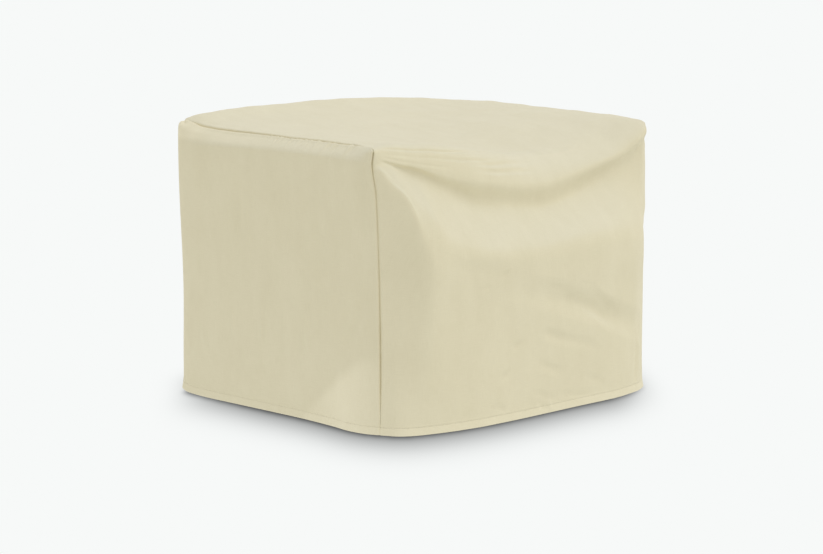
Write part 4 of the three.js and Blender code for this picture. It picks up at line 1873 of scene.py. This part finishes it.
@dataclass(frozen=True)
class Thread:
    """Finish of the stitches: twisted polyester thread, a little paler than the cloth.

    Attributes:
        name: Name of the material.
        light: Colour of a strand, linear.
        strand_groove_shade: Colour between two strands, a painted shade in the grooves.
        twist: Strands in a metre along the thread.
        relief: Height of a strand, in metres.
        bump: How strongly it shows.
        roughness: Roughness of the thread.
    """

    name: str = "sewing_thread"
    light: Colour = (0.8, 0.75, 0.57)
    strand_groove_shade: Colour = (0.56, 0.51, 0.36)
    twist: float = 1100.0
    relief: float = 0.0001
    bump: float = 0.5
    roughness: float = 0.5

    def build(self) -> bpy.types.Material:
        """Makes the material from nodes: the strands are a sine of the place along the thread and round it.

        Returns:
            The new material.
        """
        nodes = Nodes(self.name)
        place = nodes.math("ADD", *nodes.split(nodes.cut()))
        place = nodes.math("MULTIPLY", place, self.twist * 2 * math.pi)
        strand = nodes.ramp(nodes.math("SINE", place), -0.9, 0.6, (0.0, 1.0))
        # Painted shade: the thread is darker between its strands.
        nodes.link(nodes.mix_colour(strand, self.strand_groove_shade, self.light), nodes.shader.inputs["Base Color"])
        nodes.bump(strand, self.bump, self.relief)
        nodes.shader.inputs["Roughness"].default_value = self.roughness
        return nodes.material


# Setting


@dataclass(frozen=True)
class Shade:
    """One soft shade on the floor round the cover.

    Attributes:
        depths: How much light it takes at most, left of the cover, under its middle and right of it.
        along: Its blur along the view, in metres.
        across: Its blur across the view.
        moved: How far it is moved towards the camera.
        ends: How far to the left of the middle its depth changes and over which width, then both for the
            right.
    """

    depths: Triple
    along: float
    across: float
    moved: float
    ends: tuple[float, float, float, float] = (0.46, 0.09, 0.46, 0.09)

    def depth(self, across: Array) -> Array:
        """Most light that it takes, going in soft steps from the middle's to those of both ends.

        Args:
            across: Places across the view, in metres to the right.

        Returns:
            The share that it takes at each place.
        """
        left, middle, right = self.depths
        left_start, left_width, right_start, right_width = self.ends
        to_left = (left - middle) * ease((-across - left_start) / left_width)
        return middle + to_left + (right - middle) * ease((across - right_start) / right_width)


@dataclass
class Studio:
    """Pale floor, soft light and the camera.

    Attributes:
        footprint: Outline of the cover on the floor, in millimetres.
        floor_size: Side of the square floor, in metres.
        floor_colour: Its colour, linear.
        shades: The shades round the cover.
        ahead: The part of the floor that has them, towards the camera: from and to where in metres, and its
            rows.
        across: The same to the right, and its columns.
        sky: Colour of the even light from all round.
        sky_strength: Its strength.
        lamps: The key light from the front right and a faint one from behind: each with its name, from
            where it comes, its strength and how wide it is, in degrees.
        camera_place: Where the camera stands.
        camera_turn: Its turn round the object and its tilt down, in degrees.
        focal_px: Its focal length in pixels of the picture.
        picture_width: Width of the picture in pixels.
        sensor_width: Width of its sensor in millimetres.
        sight: How far it sees, in metres.
    """

    footprint: Array
    floor_size: float = 160.0
    floor_colour: Colour = (0.93, 0.947, 0.939)
    shades: tuple[Shade, ...] = (
        Shade((1.0, 1.0, 0.62), 0.137, 0.033, 0.051, (0.46, 0.09, 0.42, 0.1)),
        Shade((0.15, 0.86, 0.3), 0.022, 0.007, 0.014, (0.605, 0.035, 0.46, 0.08)),
        Shade((0.6, 0.0, 0.0), 0.08, 0.036, -0.12, (0.5, 0.12, 0.5, 0.1)),
        Shade((0.0, 0.07, 0.0), 0.08, 0.02, 0.11, (0.4, 0.12, 0.4, 0.1)),
    )
    ahead: tuple[float, float, int] = (-1.3, 1.7, 251)
    across: tuple[float, float, int] = (-1.1, 1.1, 441)
    sky: Colour = (1.0, 1.0, 1.0)
    sky_strength: float = 0.75
    lamps: tuple[tuple[str, Triple, float, float], ...] = (
        ("key", (0.33, -0.35, 0.88), 0.96, 40.0),
        ("rim", (-0.35, 0.93, 0.1), 0.22, 30.0),
    )
    camera_place: Triple = (-4.3946, -4.3087, 1.27)
    camera_turn: tuple[float, float] = (-45.0, 9.2)
    focal_px: float = 2515.0
    picture_width: float = 823.0
    sensor_width: float = 36.0
    sight: float = 500.0

    def shade(self, ahead: Array, across: Array) -> Array:
        """Share of the floor's light that is left at places round the cover.

        A place is under the cover where the footprint's outline is crossed an odd number of times further
        ahead. That footprint is blurred by a bell curve, wide along the view and narrow across it, and
        moved along the view. What is left is the product, over all shades, of one less the shade's depth
        times the blurred footprint.

        Args:
            ahead: Rising places of the floor's rows, in metres towards the camera.
            across: Rising places of its columns, in metres to the right.

        Returns:
            The share at each row and column.
        """
        corner = self.footprint * MM
        towards = -(corner[:, 0] + corner[:, 1])
        outline = np.stack([towards, corner[:, 0] - corner[:, 1]], axis=-1) / math.sqrt(2)
        start, end = outline, np.roll(outline, -1, axis=0)
        row = ahead[:, None, None]
        column = across[None, :, None]
        cut = (start[:, 1] <= column) != (end[:, 1] <= column)
        width = np.where(end[:, 1] == start[:, 1], 1.0, end[:, 1] - start[:, 1])
        crossing = start[:, 0] + (column - start[:, 1]) * (end[:, 0] - start[:, 0]) / width
        covered = ((cut & (crossing > row)).sum(axis=-1) % 2).astype(float)
        left = np.ones_like(covered)
        for shade in self.shades:
            blurred = self.blur(ahead, shade.along, shade.moved) @ covered
            blurred = blurred @ self.blur(across, shade.across, 0.0).T
            left *= 1 - shade.depth(across) * blurred
        return left

    @staticmethod
    def blur(places: Array, width: float, moved: float) -> Array:
        """Weights of a bell curve between all pairs of places, each row of them adding up to one."""
        weights = np.exp(-(((places[:, None] - places - moved) / width) ** 2) / 2)
        return weights / weights.sum(axis=1, keepdims=True)

    def floor(self) -> Piece:
        """Makes the floor, which isn't part of the object: a sheet of even light, darker round the cover.

        Only the picture shows the darkening; the light that the floor throws on the cloth stays even.

        Returns:
            The new object.
        """
        ahead, across = np.linspace(*self.ahead), np.linspace(*self.across)
        left = self.shade(ahead, across)
        far = self.floor_size / 2
        rows, columns = (np.concatenate([[-far], places, [far]]) for places in (ahead, across))
        row, column = np.meshgrid(rows, columns, indexing="ij")
        x, y = (column - row) / math.sqrt(2), -(column + row) / math.sqrt(2)
        points = np.stack([x, y, np.zeros_like(x)], axis=-1).reshape(-1, 3)
        index = np.arange(row.size).reshape(row.shape)
        quads = np.stack([index[:-1, :-1], index[1:, :-1], index[1:, 1:], index[:-1, 1:]], axis=-1)
        floor = new_mesh("floor", points, quads.reshape(-1, 4))
        open_share = floor.data.attributes.new(OPEN, "FLOAT", "POINT")
        open_share.data.foreach_set("value", np.pad(left, 1, constant_values=1.0).ravel().astype(np.float32))
        nodes = Nodes("pale_floor")
        nodes.tree.nodes.remove(nodes.shader)
        seen = nodes.add("ShaderNodeLightPath").outputs["Is Camera Ray"]
        glow = nodes.add("ShaderNodeEmission", Color=(*self.floor_colour, 1.0))
        nodes.link(nodes.mix_value(seen, 1.0, nodes.attribute(OPEN)), glow.inputs["Strength"])
        nodes.link(glow.outputs["Emission"], nodes.output.inputs["Surface"])
        floor.data.materials.append(nodes.material)
        return floor

    def light(self) -> None:
        """Sets the even light of the surroundings and the soft lamps."""
        world = bpy.data.worlds.new("studio")
        world.use_nodes = True
        background = world.node_tree.nodes["Background"]
        background.inputs["Color"].default_value = (*self.sky, 1.0)
        background.inputs["Strength"].default_value = self.sky_strength
        bpy.context.scene.world = world
        for name, way, strength, angle in self.lamps:
            sun = bpy.data.lights.new(name, "SUN")
            sun.energy = strength
            sun.angle = math.radians(angle)
            lamp = bpy.data.objects.new(name, sun)
            lamp.rotation_mode = "QUATERNION"
            lamp.rotation_quaternion = Vector(way).to_track_quat("Z", "Y")
            bpy.context.scene.collection.objects.link(lamp)

    def camera(self) -> None:
        """Makes the camera at the photograph's viewing angle."""
        lens = bpy.data.cameras.new("camera")
        lens.sensor_width = self.sensor_width
        lens.lens = self.focal_px / self.picture_width * lens.sensor_width
        lens.clip_end = self.sight
        turn, tilt = (math.radians(angle) for angle in self.camera_turn)
        ahead = Vector((-math.sin(turn) * math.cos(tilt), math.cos(turn) * math.cos(tilt), -math.sin(tilt)))
        camera = bpy.data.objects.new("camera", lens)
        camera.location = self.camera_place
        camera.rotation_mode = "QUATERNION"
        camera.rotation_quaternion = ahead.to_track_quat("-Z", "Y")
        bpy.context.scene.collection.objects.link(camera)
        bpy.context.scene.camera = camera

    def build(self) -> None:
        """Makes the whole setting, shown without any change of contrast."""
        bpy.context.scene.view_settings.view_transform = "Standard"
        self.floor()
        self.light()
        self.camera()


def footprint(points: int = 80) -> Array:
    """Outline of the cover on the floor, along its four hems.

    Args:
        points: Points on each hem.

    Returns:
        The outline's points, as x and y.
    """
    hems = (np.array(hem, float) for hem in (FRONT_HEM, RIGHT_HEM, BACK_HEM[::-1], LEFT_HEM[::-1]))
    return np.concatenate([through(hem, np.linspace(0, len(hem) - 1, points))[:, :2] for hem in hems])


def main() -> None:
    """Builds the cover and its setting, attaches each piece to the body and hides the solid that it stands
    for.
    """
    logging.basicConfig(level=logging.INFO, format="%(message)s")
    Studio(footprint()).build()
    long = LongCloth()
    sides = (
        SideCloth(Side.LEFT, (LEFT_HEM, LEFT_WAIST, LEFT_SHOULDER, LEFT_ROLL, LEFT_BAND),
                  (34, 46, 6, 9, 12), (0.72, 0.68), gathered=(75.0, 400.0)),
        SideCloth(Side.RIGHT, (RIGHT_HEM, RIGHT_WAIST, RIGHT_SHOULDER), (26, 34, 10), (0.70, 0.66)),
    )
    cover = Cover(long, sides, shift=(1.7, -0.8, 0.0))
    weave = Weave().build()
    thread = Thread().build()
    cloths = {cloth.name: cloth for cloth in (long, *sides)}
    for name, (piece, stitches) in cover.build().items():
        sewing = stitches.build(name.replace("_cloth", "_hem_stitches"))
        sewing.data.materials.append(thread)
        piece.data.materials.append(weave)
        for part in (piece, sewing):
            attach(part, BODY)
            log.info("%s: %d faces", part.name, len(part.data.polygons))
        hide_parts(cloths[name].node)


if __name__ == "__main__":
    main()
